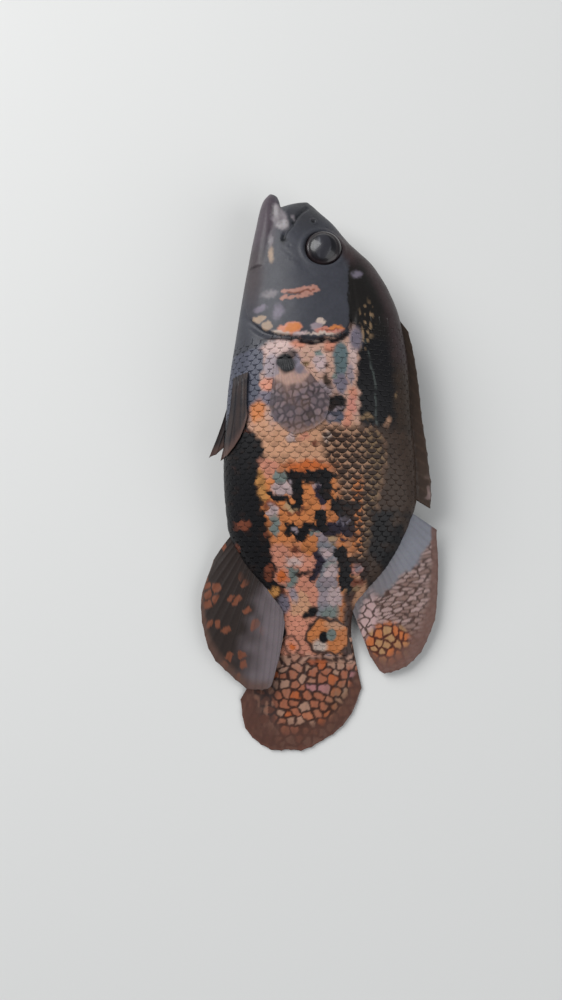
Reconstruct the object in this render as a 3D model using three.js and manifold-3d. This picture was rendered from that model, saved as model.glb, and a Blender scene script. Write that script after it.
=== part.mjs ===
// A young oscar, Astronotus ocellatus, at life size: a still model of a fish that lies on its right side.
// Units are millimetres, +Z is up. The fish is laid out in its own coordinates: `a` runs back from the
// snout, `h` runs from the long axis of the body towards the back, and z is the height over the floor.

import * as THREE from 'three';
import { mergeVertices } from 'three/addons/utils/BufferGeometryUtils.js';
import Module from 'manifold-3d';

const wasm = await Module();
wasm.setup();

// Driving dimensions
const GAP = 0.3;               // between parts that touch
const SNOUT = 0.6;             // the upper jaw starts behind the tip of the lower one
const BODY_END = 94.5;         // where the tail fin takes over from the flesh
const HEAD_END = 28.5;         // head and trunk meet here, under the gill cover
const TRUNK_END = 84;
const BODY_STATIONS = 42;
const BODY_SIDES = 32;
const DORSAL_TAPER = 0.1;      // how much thinner the body is above its axis than below
const STATION_CROWDING = 1.25;  // above 1, sections crowd towards the snout
const BIG = 200;               // farther than any of the fish reaches

// Profiles of the body: [a, value]
const BACK = curveThrough([[SNOUT, -1.0], [1.6, 0.2], [2.6, 1.2], [5.7, 4.5], [8, 6.3], [10, 8.0], [11.8, 9.9],
  [14.2, 12.4], [16.8, 14.2], [19.8, 15.9], [26, 18.2], [38, 20.0], [46, 20.4], [58, 21.4], [64, 21.6], [69, 20.2],
  [77.5, 16.2], [84, 10.9], [86, 9.2], [88.8, 8.3], [91, 8.1], [BODY_END, 8.2]]);
const BELLY = curveThrough([[SNOUT, -1.7], [1.2, -5.0], [2.5, -8.6], [6.3, -12.2], [13.4, -13.8], [30.4, -16.6],
  [43, -18.3], [58, -19.1], [70, -18.3], [77, -15.2], [84, -9.6], [88.5, -6.7], [91, -6.5], [BODY_END, -7.2]]);
const HALF_WIDTH = curveThrough([[SNOUT, 1.3], [1.5, 2.7], [4, 4.6], [8, 6.0], [14, 7.4], [22, 8.6], [30, 9.2],
  [38, 9.3], [48, 8.9], [58, 8.1], [68, 6.7], [78, 4.8], [86, 3.3], [92, 2.3], [BODY_END, 1.9]]);
// The stiff head lies level. From the trunk back, the flank rests on the floor and the mid-plane comes down.
const FLAT_DEPTH = 0.25;
const LEVEL_END = 38;
const MID_HEIGHT = (a) => HALF_WIDTH(Math.max(a, LEVEL_END)) - FLAT_DEPTH;

// The lower jaw, which stands out past the upper one, and the open mouth above it
const JAW_TOP = curveThrough([[-1.5, -9.0], [-0.7, -7.7], [0.8, -7.2], [4, -6.9], [8, -6.2], [16, -5.5]]);
const JAW_BOTTOM = curveThrough([[-1.5, -9.5], [0.8, -11.1], [6.3, -12.4], [13.4, -13.8], [16, -14.2]]);
const JAW_START = -1.5;
const JAW_END = 16;
const JAW_STATIONS = 16;
const JAW_WIDTH = curveThrough([[JAW_START, 0.7], [-0.7, 1.9], [0.8, 3.0], [4, 4.3], [8, 5.2], [JAW_END, 5.9]]);
const JAW_SEAM = { corner: 5.5, cornerDrop: 4, belly: 7, depth: 30, front: -9 };   // from the mouth's corner
const MOUTH_CORNER = [7.6, -6.4];
const MOUTH_DROP = 0.9;        // how much lower the mouth is at the front than at its corner
const GAPE = 0.5;
const UPPER_LIP = [[7.2, -5.9, 5.6], [4.6, -6.0, 4.6], [2.4, -5.0, 3.2], [1.4, -3.6, 1.7], [1.3, -3.0, 0]];
const LOWER_LIP = [[7.2, -7.4, 5.3], [4.6, -7.6, 4.1], [1.8, -7.9, 2.9], [-0.2, -8.3, 1.5], [-0.8, -8.6, 0]];
const LIP = { radius: 0.55, steps: 16, quarterSides: 4 };

// Eye, nostril and gill cover
const EYE = { a: 12.8, h: 1.7, radius: 3.9, depth: 2.5, sunk: 1.3, sides: 20, rings: 12 };
const NOSTRIL = { a: 6.0, h: -0.6, radius: 0.5, sides: 10, rings: 8 };
const COVER_RAISE = 0.3;
const COVER_DEPTH = 0.9;
const COVER_OUTLINE = [[18.6, -2], [20.5, 5.6], [26, 7.2], [30.4, 6.2], [32.4, 1.5], [32.0, -4], [30.4, -10.5],
  [25.5, -14.2], [20.5, -12.6]];
const COVER_CENTRE = [26, -4];
const COVER_POINTS = 32;

// Monotone cubic through a few points
function curveThrough(points) {
  const x = points.map((p) => p[0]);
  const y = points.map((p) => p[1]);
  const last = x.length - 1;
  const secant = x.slice(1).map((value, i) => (y[i + 1] - y[i]) / (value - x[i]));
  const tangent = x.map((value, i) => {
    if (i === 0) return secant[0];
    if (i === last) return secant[last - 1];
    const product = secant[i - 1] * secant[i];
    return product <= 0 ? 0 : (2 * product) / (secant[i - 1] + secant[i]);
  });
  return (at) => {
    const place = Math.min(Math.max(at, x[0]), x[last]);
    let i = 0;
    while (i < last - 1 && place > x[i + 1]) i += 1;
    const step = x[i + 1] - x[i];
    const t = (place - x[i]) / step;
    const rise = y[i] * (1 + 2 * t) * (1 - t) ** 2 + y[i + 1] * t * t * (3 - 2 * t);
    return rise + step * (tangent[i] * t * (1 - t) ** 2 - tangent[i + 1] * t * t * (1 - t));
  };
}

// Fish coordinates to the model's own: the head is towards +Y, the back towards +X
function place(a, h, z) {
  return [h, -a, z];
}

function solidFrom(positions, triangles) {
  return new wasm.Manifold(new wasm.Mesh({
    numProp: 3,
    vertProperties: new Float32Array(positions),
    triVerts: new Uint32Array(triangles),
  }));
}

function solidOf(geometry) {
  geometry.deleteAttribute('normal');
  geometry.deleteAttribute('uv');
  const merged = mergeVertices(geometry, 1e-5);
  return solidFrom(merged.attributes.position.array, merged.index.array);
}

// A union or a cut can leave scraps: only the largest closed surface stays
function largest(solid) {
  const volume = (piece) => Math.abs(piece.volume());
  return solid.decompose().reduce((best, piece) => (volume(piece) > volume(best) ? piece : best));
}

function block(low, high) {
  const size = high.map((value, i) => value - low[i]);
  const geometry = new THREE.BoxGeometry(...size);
  geometry.translate(...low.map((value, i) => value + size[i] / 2));
  return solidOf(geometry);
}

// All that lies between two distances from the snout
function slice(from, to) {
  return block([-BIG, -to, -BIG], [BIG, -from, BIG]);
}

// An outline in fish coordinates, carried straight through a range of heights
function prism(outline, low, high) {
  const shape = new THREE.Shape(outline.map(([a, h]) => new THREE.Vector2(h, -a)));
  const geometry = new THREE.ExtrudeGeometry(shape, { depth: high - low, bevelEnabled: false, steps: 1 });
  geometry.translate(0, 0, low);
  return solidOf(geometry);
}

// Half the thickness of the body at a place on its side
function flank(a, h, grow = 0) {
  const middle = (BACK(a) + BELLY(a)) / 2;
  const half = (BACK(a) - BELLY(a)) / 2 + grow;
  const cosine = Math.min(Math.max((h - middle) / half, -1), 1);
  const sine = Math.sqrt(1 - cosine * cosine);
  return (HALF_WIDTH(a) + grow) * sine * (1 - DORSAL_TAPER * cosine);
}

// A closed skin over oval sections: top, bottom and half-width follow the profiles along the fish
function loft(from, to, stations, profiles, grow) {
  const { top, bottom, width } = profiles;
  const positions = [];
  const triangles = [];
  for (let i = 0; i <= stations; i += 1) {
    const a = from + (to - from) * (i / stations) ** STATION_CROWDING;
    const middle = (top(a) + bottom(a)) / 2;
    const half = (top(a) - bottom(a)) / 2 + grow;
    for (let j = 0; j < BODY_SIDES; j += 1) {
      const turn = (2 * Math.PI * j) / BODY_SIDES;
      const thick = (width(a) + grow) * Math.sin(turn) * (1 - DORSAL_TAPER * Math.cos(turn));
      positions.push(...place(a, middle + half * Math.cos(turn), MID_HEIGHT(a) + thick));
    }
  }
  const ring = (i, j) => i * BODY_SIDES + (j % BODY_SIDES);
  for (let i = 0; i < stations; i += 1) {
    for (let j = 0; j < BODY_SIDES; j += 1) {
      triangles.push(ring(i, j), ring(i, j + 1), ring(i + 1, j));
      triangles.push(ring(i, j + 1), ring(i + 1, j + 1), ring(i + 1, j));
    }
  }
  for (let j = 1; j < BODY_SIDES - 1; j += 1) {
    triangles.push(ring(0, 0), ring(0, j + 1), ring(0, j));
    triangles.push(ring(stations, 0), ring(stations, j), ring(stations, j + 1));
  }
  return facingOut(positions, triangles);
}

// Triangles that run the wrong way round give a negative volume, and are turned
function facingOut(positions, triangles) {
  const corner = (k) => new THREE.Vector3().fromArray(positions, 3 * triangles[k]);
  let volume = 0;
  for (let k = 0; k < triangles.length; k += 3) {
    volume += corner(k).dot(corner(k + 1).cross(corner(k + 2)));
  }
  return solidFrom(positions, volume < 0 ? triangles.slice().reverse() : triangles);
}

function bodySolid(grow) {
  return loft(SNOUT - grow, BODY_END, BODY_STATIONS, { top: BACK, bottom: BELLY, width: HALF_WIDTH }, grow);
}

// An eye is a flattened ball that stands a little out of the head
function eyeSolid(side, grow) {
  const geometry = new THREE.SphereGeometry(1, EYE.sides, EYE.rings);
  geometry.rotateX(Math.PI / 2);
  geometry.scale(EYE.radius + grow, EYE.radius + grow, EYE.depth + grow);
  const height = MID_HEIGHT(EYE.a) + side * (flank(EYE.a, EYE.h) - EYE.sunk);
  geometry.translate(...place(EYE.a, EYE.h, height));
  return solidOf(geometry);
}

function nostrilPit(side) {
  const geometry = new THREE.SphereGeometry(NOSTRIL.radius, NOSTRIL.sides, NOSTRIL.rings);
  const height = MID_HEIGHT(NOSTRIL.a) + side * flank(NOSTRIL.a, NOSTRIL.h);
  geometry.translate(...place(NOSTRIL.a, NOSTRIL.h, height));
  return solidOf(geometry);
}

// A lip is a round band that runs from one corner of the mouth round the front to the other
function lipSolid(path) {
  const far = path.slice(0, -1).reverse().map(([a, h, across]) => [a, h, -across]);
  const points = [...path, ...far].map(([a, h, across]) => {
    return new THREE.Vector3(...place(a, h, MID_HEIGHT(a) + across));
  });
  const round = new THREE.Shape().absarc(0, 0, LIP.radius, 0, 2 * Math.PI);
  const geometry = new THREE.ExtrudeGeometry(round, {
    steps: LIP.steps,
    curveSegments: LIP.quarterSides,
    extrudePath: new THREE.CatmullRomCurve3(points),
  });
  return solidOf(geometry);
}

// The room of the lower jaw: below the line of the mouth, and ahead of a slanting seam in the cheek
function jawRoom(lift) {
  const [cornerA, cornerH] = MOUTH_CORNER;
  const { corner, cornerDrop, belly, depth, front } = JAW_SEAM;
  return prism([[front, cornerH - MOUTH_DROP + lift * 3], [cornerA, cornerH + lift],
    [cornerA + corner + lift, cornerH - cornerDrop], [cornerA + belly + lift, -depth], [front, -depth]], -BIG, BIG);
}

function mouthWedge() {
  const [cornerA, cornerH] = MOUTH_CORNER;
  const { front } = JAW_SEAM;
  return prism([[front, cornerH - MOUTH_DROP - GAPE], [cornerA - LIP.radius, cornerH], [front, cornerH + 3 * GAPE]],
    -BIG, BIG);
}

// The gill cover is a plate let into the side, free at its rear edge
function coverOutline(grow) {
  const curve = new THREE.CatmullRomCurve3(COVER_OUTLINE.map(([a, h]) => new THREE.Vector3(a, h, 0)), true);
  const points = curve.getPoints(COVER_POINTS).slice(0, -1);
  const centre = new THREE.Vector3(...COVER_CENTRE, 0);
  return points.map((point) => {
    const out = point.clone().sub(centre);
    const moved = point.clone().add(out.setLength(grow));
    return [moved.x, moved.y];
  });
}

function coverRoom(side, grow) {
  const middle = MID_HEIGHT(0);
  return prism(coverOutline(grow), side > 0 ? middle : -BIG, side > 0 ? BIG : middle);
}

// A fin is a thin sheet with its rays raised on both faces. Rays run from root(v) to tip(v), v from 0 at the
// first ray to 1 at the last, and u from 0 at the root to 1 at the tip. The membrane ends just short of them.
const MEMBRANE = 0.5;
const RIDGE = 0.3;
const RIDGE_TAPER = 0.6;       // how much of a ridge is lost at the tip
const MEMBRANE_REACH = 0.97;
const ROOT_REACH = 0.4;        // how far out the thick root goes

function finSolid(fin) {
  const { rays, rows, root, tip, height, rootThick, membrane = MEMBRANE } = fin;
  const columns = 2 * rays - 1;
  const top = [];
  const under = [];
  for (let j = 0; j < columns; j += 1) {
    const v = j / (columns - 1);
    const isRay = j % 2 === 0;
    const reach = isRay ? 1 : MEMBRANE_REACH;
    const [rootA, rootH] = root(v);
    const [tipA, tipH] = tip(v);
    for (let i = 0; i <= rows; i += 1) {
      const u = (reach * i) / rows;
      const a = rootA + (tipA - rootA) * u;
      const h = rootH + (tipH - rootH) * u;
      const swell = (rootThick - membrane) * Math.max(0, 1 - u / ROOT_REACH) ** 2;
      const half = (membrane + swell + (isRay ? RIDGE * (1 - RIDGE_TAPER * u) : 0)) / 2;
      const z = height(a, h, u, v);
      top.push(...place(a, h, z + half));
      under.push(...place(a, h, z - half));
    }
  }
  const count = columns * (rows + 1);
  const at = (i, j) => j * (rows + 1) + i;
  const triangles = [];
  for (let j = 0; j < columns - 1; j += 1) {
    for (let i = 0; i < rows; i += 1) {
      const [p, q, r, s] = [at(i, j), at(i + 1, j), at(i + 1, j + 1), at(i, j + 1)];
      triangles.push(p, q, r, p, r, s);
      triangles.push(p + count, r + count, q + count, p + count, s + count, r + count);
    }
  }
  const wall = (p, q) => triangles.push(q, p, p + count, q, p + count, q + count);
  for (let j = 0; j < columns - 1; j += 1) {
    wall(at(0, j + 1), at(0, j));
    wall(at(rows, j), at(rows, j + 1));
  }
  for (let i = 0; i < rows; i += 1) {
    wall(at(i, 0), at(i + 1, 0));
    wall(at(i + 1, columns - 1), at(i, columns - 1));
  }
  return facingOut([...top, ...under], triangles);
}

// A line through a few [a, h] points, asked for by a number from 0 to 1
function lineThrough(points) {
  const last = points.length - 1;
  const alongA = curveThrough(points.map(([a], i) => [i / last, a]));
  const alongH = curveThrough(points.map((point, i) => [i / last, point[1]]));
  return (v) => [alongA(v), alongH(v)];
}

const mix = (from, to, share) => from + (to - from) * share;
const ROOT_SUNK = 1.2;         // how deep a fin's root is laid into the body before the body's room is cut

// The spiny part of the dorsal fin is folded low along the back, its spines lying back
const spinyRootAt = (v) => mix(24.5, 63.5, v);
const spinyTipAt = (v) => mix(29, 66.2, v);
const spinyDorsal = {
  rays: 13,
  rows: 4,
  root: (v) => [spinyRootAt(v), BACK(spinyRootAt(v)) - ROOT_SUNK],
  tip: (v) => [spinyTipAt(v), BACK(spinyTipAt(v)) + mix(1.6, 3.6, v)],
  height: (a) => MID_HEIGHT(a),
  rootThick: 2.4,
};

// The soft part of the dorsal fin is half spread and slopes down to the side
const SOFT_DORSAL_TIPS = lineThrough([[70.5, 26.3], [78, 26.7], [87, 26.4], [94.5, 24.2], [99.6, 19.8], [101.2, 15.2],
  [97.6, 12.2]]);
const softRootAt = (v) => mix(66.6, 86.5, v);
const softDorsal = {
  rays: 18,
  rows: 7,
  root: (v) => [softRootAt(v), BACK(softRootAt(v)) - ROOT_SUNK],
  tip: SOFT_DORSAL_TIPS,
  height: (a, h, u, v) => mix(MID_HEIGHT(softRootAt(v)), mix(4.4, 1.1, Math.sqrt(v)), u),
  rootThick: 2.0,
};

const ANAL_TIPS = lineThrough([[77, -21.6], [86, -24.2], [94, -23.2], [100.5, -19], [104.6, -13], [104.2, -9.6],
  [98.5, -7.6]]);
const analRootAt = (v) => mix(71, 87.5, v);
const analFin = {
  rays: 16,
  rows: 7,
  root: (v) => [analRootAt(v), BELLY(analRootAt(v)) + ROOT_SUNK],
  tip: ANAL_TIPS,
  height: (a, h, u, v) => mix(MID_HEIGHT(analRootAt(v)), mix(2.6, 2.9, v), u),
  rootThick: 2.0,
};

// The tail fin starts as thick as the flesh it grows from, and comes down until it lies on the floor
const FLOOR_CLEAR = 0.42;      // from the floor to the middle of a fin that is pressed to it
const TAIL_ROOT = BODY_END + GAP;
const TAIL_INSET = 0.6;        // the tail's root is this much lower than the flesh, above and below
const TAIL_TIPS = lineThrough([[104.2, 10.3], [109.4, 8.3], [113.6, 4.6], [116.3, 0.4], [117.6, -3.8],
  [117.6, -7.8], [116, -11.8], [112.4, -14.8], [106.8, -15.8]]);
const tailFin = {
  rays: 16,
  rows: 9,
  root: (v) => [TAIL_ROOT, mix(BACK(BODY_END) - TAIL_INSET, BELLY(BODY_END) + TAIL_INSET, v)],
  tip: TAIL_TIPS,
  height: (a, h, u) => mix(MID_HEIGHT(BODY_END), FLOOR_CLEAR, Math.min(1, 1.5 * u) ** 0.8),
  rootThick: 2.2,
};

// A paired fin lies folded back against the side: its rays fan out from the root
function fan(base, from, to, length, span) {
  return {
    root: (v) => {
      const turn = THREE.MathUtils.degToRad(mix(from, to, v));
      return [base[0] + Math.abs(Math.sin(turn)) * 0.3, base[1] + mix(span, -span, v)];
    },
    tip: (v) => {
      const turn = THREE.MathUtils.degToRad(mix(from, to, v));
      return [base[0] + length(v) * Math.cos(turn), base[1] + length(v) * Math.sin(turn)];
    },
  };
}

const PECTORAL_LENGTH = curveThrough([[0, 12.5], [0.3, 15.5], [0.6, 16], [0.85, 13.5], [1, 11]]);
const CLEAR = GAP + 0.45;      // from the flank to the middle of a fin that lies on it
const leftPectoral = {
  ...fan([36.2, -6], 46, -18, PECTORAL_LENGTH, 2.2),
  rays: 13,
  rows: 7,
  height: (a, h) => MID_HEIGHT(a) + flank(a, h) + CLEAR,
  rootThick: 0.9,
};
const rightPectoral = {
  ...fan([36.2, -6.4], 4, -24, PECTORAL_LENGTH, 1.8),
  rays: 13,
  rows: 7,
  height: (a, h) => Math.max(FLOOR_CLEAR, MID_HEIGHT(a) - flank(a, h) - CLEAR),
  rootThick: 0.9,
};

const PELVIC_LENGTH = curveThrough([[0, 19], [0.3, 17], [1, 10]]);
const pelvic = (side) => ({
  ...fan([38, -15.2], side > 0 ? -14 : -22, side > 0 ? 8 : -4, PELVIC_LENGTH, -1.6),
  rays: 6,
  rows: 7,
  height: (a, h) => MID_HEIGHT(a) + side * (flank(a, h) + CLEAR),
  rootThick: 0.9,
});

const material = (name, color, roughness) => {
  return new THREE.MeshStandardMaterial({ name, color, roughness, metalness: 0 });
};
const SKIN = ['skin', 0x3a3430, 0.35];
const FIN = ['fin', 0x9a7458, 0.4];
const EYEBALL = ['eye', 0x15110f, 0.1];

const fish = new THREE.Group();

function addNode(name, solid, [slot, color, roughness]) {
  const { vertProperties, triVerts } = largest(solid).getMesh();
  const geometry = new THREE.BufferGeometry();
  geometry.setAttribute('position', new THREE.BufferAttribute(new Float32Array(vertProperties), 3));
  geometry.setIndex(new THREE.BufferAttribute(new Uint32Array(triVerts), 1));
  geometry.computeVertexNormals();
  const mesh = new THREE.Mesh(geometry, material(slot, color, roughness));
  mesh.name = name;
  fish.add(mesh);
}

const floor = block([-BIG, -BIG, -BIG], [BIG, BIG, 0]);
const body = bodySolid(0).subtract(floor);
const bodyRoom = bodySolid(GAP);
const SIDES = [['left', 1], ['right', -1]];

let head = body.intersect(slice(-BIG, HEAD_END));
let trunk = body.intersect(slice(HEAD_END + GAP, TRUNK_END));
head = head.subtract(jawRoom(GAP)).subtract(mouthWedge()).add(lipSolid(UPPER_LIP));

for (const [sideName, side] of SIDES) {
  const pocket = coverRoom(side, GAP).subtract(bodySolid(-COVER_DEPTH - GAP));
  head = head.subtract(pocket).subtract(eyeSolid(side, GAP)).subtract(nostrilPit(side));
  trunk = trunk.subtract(pocket);
  const cover = bodySolid(COVER_RAISE).intersect(coverRoom(side, 0)).subtract(bodySolid(-COVER_DEPTH));
  addNode(`gill_cover_${sideName}`, cover.subtract(floor), SKIN);
  addNode(`eye_${sideName}`, eyeSolid(side, 0), EYEBALL);
}
addNode('head', head, SKIN);

const jawLoft = loft(JAW_START, JAW_END, JAW_STATIONS, { top: JAW_TOP, bottom: JAW_BOTTOM, width: JAW_WIDTH }, 0);
addNode('lower_jaw', jawLoft.intersect(jawRoom(0)).subtract(mouthWedge()).add(lipSolid(LOWER_LIP)), SKIN);

// The flank is hollowed a little where the lower pectoral fin is pressed into it
const rightFin = finSolid(rightPectoral).subtract(floor);
const rightFinRoom = finSolid({ ...rightPectoral, membrane: MEMBRANE + 3 * GAP, rootThick: 0.9 + 3 * GAP });
addNode('trunk', trunk.subtract(rightFinRoom), SKIN);
addNode('caudal_peduncle', body.intersect(slice(TRUNK_END + GAP, BODY_END)), SKIN);

addNode('pectoral_fin_right', rightFin, FIN);
addNode('pectoral_fin_left', finSolid(leftPectoral).subtract(bodyRoom), FIN);
for (const [sideName, side] of SIDES) {
  addNode(`pelvic_fin_${sideName}`, finSolid(pelvic(side)).subtract(bodyRoom).subtract(floor), FIN);
}
addNode('dorsal_fin_spiny', finSolid(spinyDorsal).subtract(bodyRoom), FIN);
addNode('dorsal_fin_soft', finSolid(softDorsal).subtract(bodyRoom), FIN);
addNode('anal_fin', finSolid(analFin).subtract(bodyRoom), FIN);
addNode('caudal_fin', finSolid(tailFin).subtract(floor), FIN);

// The origin is on the floor, under the middle of the whole fish
const extent = new THREE.Box3().setFromObject(fish);
const middle = extent.getCenter(new THREE.Vector3());
fish.position.set(-middle.x, -middle.y, -extent.min.z);
fish.updateMatrixWorld(true);

export default fish;
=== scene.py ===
"""Looks of a young oscar fish: a still, life-size model that lies on its right side.

Shapes are worked out in the fish's own coordinates, in millimetres: a runs back from the snout, h runs from
the long axis of the body towards the back, and z is the height over the floor.
"""

import bmesh
import bpy
import numpy as np
from bpy.props import FloatProperty, FloatVectorProperty, PointerProperty
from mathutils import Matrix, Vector


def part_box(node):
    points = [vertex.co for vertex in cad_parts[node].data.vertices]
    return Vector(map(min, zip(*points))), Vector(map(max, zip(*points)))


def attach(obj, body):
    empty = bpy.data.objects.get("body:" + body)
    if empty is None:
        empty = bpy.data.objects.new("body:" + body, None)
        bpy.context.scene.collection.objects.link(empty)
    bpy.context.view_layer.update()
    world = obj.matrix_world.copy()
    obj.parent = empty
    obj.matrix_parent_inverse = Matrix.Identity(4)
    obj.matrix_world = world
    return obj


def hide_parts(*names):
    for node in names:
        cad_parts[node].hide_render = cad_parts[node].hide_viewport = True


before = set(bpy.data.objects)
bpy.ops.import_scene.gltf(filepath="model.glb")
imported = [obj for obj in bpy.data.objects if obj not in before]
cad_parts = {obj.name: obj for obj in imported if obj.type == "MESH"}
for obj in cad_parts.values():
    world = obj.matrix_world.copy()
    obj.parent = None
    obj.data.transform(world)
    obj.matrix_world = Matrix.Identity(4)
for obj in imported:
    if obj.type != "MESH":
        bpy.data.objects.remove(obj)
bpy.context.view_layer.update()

bl_info = {
    "name": "Young oscar fish",
    "version": (1, 0, 0),
    "blender": (4, 5, 0),
    "location": "View3D > Sidebar > Oscar fish",
    "description": "Builds the skin, scales, eyes and fins of a young oscar fish round its solids",
    "category": "Add Mesh",
}

MM = 0.001
SIDES = ((1, "left"), (-1, "right"))

# The eye's centre ties the fish's coordinates to the frame's
EYE_A, EYE_H = 12.8, 1.7
EYE_BOX = np.array(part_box("eye_left"))
EYE_CENTRE = EYE_BOX.mean(axis=0) / MM
AXIS_X = EYE_CENTRE[0] - EYE_H
SNOUT_Y = EYE_CENTRE[1] + EYE_A


# Small tools

def curve(points):
    """A monotone cubic through [place, value] points, as a function of whole arrays."""
    x = np.array([point[0] for point in points], float)
    y = np.array([point[1] for point in points], float)
    secant = np.diff(y) / np.diff(x)
    tangent = np.empty_like(x)
    tangent[0], tangent[-1] = secant[0], secant[-1]
    product = secant[:-1] * secant[1:]
    total = np.where(product > 0, secant[:-1] + secant[1:], 1)
    tangent[1:-1] = np.where(product > 0, 2 * product / total, 0)

    def value(at):
        at = np.clip(np.asarray(at, float), x[0], x[-1])
        i = np.clip(np.searchsorted(x, at) - 1, 0, len(x) - 2)
        step = x[i + 1] - x[i]
        t = (at - x[i]) / step
        bend = tangent[i] * t * (1 - t) ** 2 - tangent[i + 1] * t * t * (1 - t)
        return y[i] * (1 + 2 * t) * (1 - t) ** 2 + y[i + 1] * t * t * (3 - 2 * t) + step * bend

    return value


def ease(low, high, value):
    """0 below low, 1 above high, and a smooth step between."""
    t = np.clip((value - low) / (high - low), 0, 1)
    return t * t * (3 - 2 * t)


def between(value, start, full, fading, end):
    """1 from full to fading, 0 outside start and end, and smooth steps between."""
    return ease(start, full, value) * (1 - ease(fading, end, value))


def mix(from_, to, share):
    """The value that lies a share of the way from one to the other."""
    return from_ + (to - from_) * share


def linear(hex_colour):
    """An sRGB hex colour as linear red, green and blue."""
    code = hex_colour.lstrip("#")
    srgb = np.array([int(code[i:i + 2], 16) for i in (0, 2, 4)]) / 255
    return np.where(srgb <= 0.04045, srgb / 12.92, ((srgb + 0.055) / 1.055) ** 2.4)


NOISE_SIZE = 128
NOISE_TABLE = np.random.default_rng(7).uniform(-1, 1, (NOISE_SIZE, NOISE_SIZE))


def noise(x, y, pitch, seed=0):
    """Smooth noise from -1 to 1: a table of random values, pitch mm apart, eased between neighbours."""
    x = np.asarray(x, float) / pitch + 17.3 * seed
    y = np.asarray(y, float) / pitch + 31.7 * seed
    column, row = np.floor(x).astype(int), np.floor(y).astype(int)
    tx, ty = ease(0, 1, x - column), ease(0, 1, y - row)

    def at(i, j):
        return NOISE_TABLE[(column + i) % NOISE_SIZE, (row + j) % NOISE_SIZE]

    return mix(mix(at(0, 0), at(1, 0), tx), mix(at(0, 1), at(1, 1), tx), ty)


# The body's form, as in the solids

SNOUT = 0.6
JAW_TIP = -1.5
JAW_END = 16
BODY_END = 94.5
TAIL_FLESH_END = 99
LEVEL_END = 38
FLAT_DEPTH = 0.25
DORSAL_TAPER = 0.1
BACK = curve([
    [SNOUT, -1.0], [1.6, 0.2], [2.6, 1.2], [5.7, 4.5], [8, 6.3], [10, 8.0], [11.8, 9.9], [14.2, 12.4],
    [16.8, 14.2], [19.8, 15.9], [26, 18.2], [38, 20.0], [46, 20.4], [58, 21.4], [64, 21.6], [69, 20.2],
    [77.5, 16.2], [84, 10.9], [86, 9.2], [88.8, 8.3], [91, 8.1], [BODY_END, 8.2], [TAIL_FLESH_END, 8.7]])
BELLY = curve([
    [SNOUT, -1.7], [1.2, -5.0], [2.5, -8.6], [6.3, -12.2], [13.4, -13.8], [30.4, -16.6], [43, -18.3],
    [58, -19.1], [70, -18.3], [77, -15.2], [84, -9.6], [88.5, -6.7], [91, -6.5], [BODY_END, -7.2],
    [TAIL_FLESH_END, -8.2]])
HALF_WIDTH = curve([
    [SNOUT, 1.3], [1.5, 2.7], [4, 4.6], [8, 6.0], [14, 7.4], [22, 8.6], [30, 9.2], [38, 9.3], [48, 8.9],
    [58, 8.1], [68, 6.7], [78, 4.8], [86, 3.3], [92, 2.25], [BODY_END, 1.7], [97, 0.95],
    [TAIL_FLESH_END, 0.4]])
JAW_TOP = curve([[JAW_TIP, -9.0], [-0.7, -7.7], [0.8, -7.2], [4, -6.9], [8, -6.2], [JAW_END, -5.5]])
JAW_BOTTOM = curve([[JAW_TIP, -9.5], [0.8, -11.1], [6.3, -12.4], [13.4, -13.8], [JAW_END, -14.2]])
JAW_WIDTH = curve([[JAW_TIP, 0.7], [-0.7, 1.9], [0.8, 3.0], [4, 4.25], [8, 5.1], [JAW_END, 5.6]])
TAIL_MID = curve([[BODY_END, 0], [TAIL_FLESH_END, -0.45]])


def mid_height(a):
    """The height of the fish's middle plane: level ahead, then as high as the flank is thick."""
    return HALF_WIDTH(np.clip(a, LEVEL_END, BODY_END)) - FLAT_DEPTH + TAIL_MID(a)


def flank(a, h):
    """Half the body's thickness where its side is h from the axis."""
    middle = (BACK(a) + BELLY(a)) / 2
    half = (BACK(a) - BELLY(a)) / 2
    cosine = np.clip((h - middle) / half, -1, 1)
    return HALF_WIDTH(a) * np.sqrt(1 - cosine ** 2) * (1 - DORSAL_TAPER * cosine)


def section(a, turn, grow, profiles=(BACK, BELLY, HALF_WIDTH)):
    """A point of an oval section: cosine of turn towards the back, sine towards the left side."""
    top, bottom, width = profiles
    middle = (top(a) + bottom(a)) / 2
    half = (top(a) - bottom(a)) / 2 + grow
    thick = (width(a) + grow) * np.sin(turn) * (1 - DORSAL_TAPER * np.cos(turn))
    return middle + half * np.cos(turn), mid_height(a) + thick


def to_frame(a, h, z):
    """Fish coordinates in mm to the frame's, in metres. Nothing goes below the floor."""
    return np.stack([h + AXIS_X, SNOUT_Y - a, np.maximum(z, 0.0)], axis=-1) * MM


def from_frame(points):
    """The frame's metres back to fish coordinates in mm."""
    points = points / MM
    return SNOUT_Y - points[:, 1], points[:, 0] - AXIS_X, points[:, 2]


# Meshes from arrays

def grid_faces(columns, rows, closed=False):
    """Quads of a grid of points that are stored column by column."""
    i, j = np.meshgrid(np.arange(columns - (not closed)), np.arange(rows - 1), indexing="ij")
    near, far = i * rows, ((i + 1) % columns) * rows
    return np.stack([near + j, far + j, far + j + 1, near + j + 1], axis=-1).reshape(-1, 4)


def new_object(name, data):
    """Links a new object that shows the data."""
    made = bpy.data.objects.new(name, data)
    bpy.context.scene.collection.objects.link(made)
    return made


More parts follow.
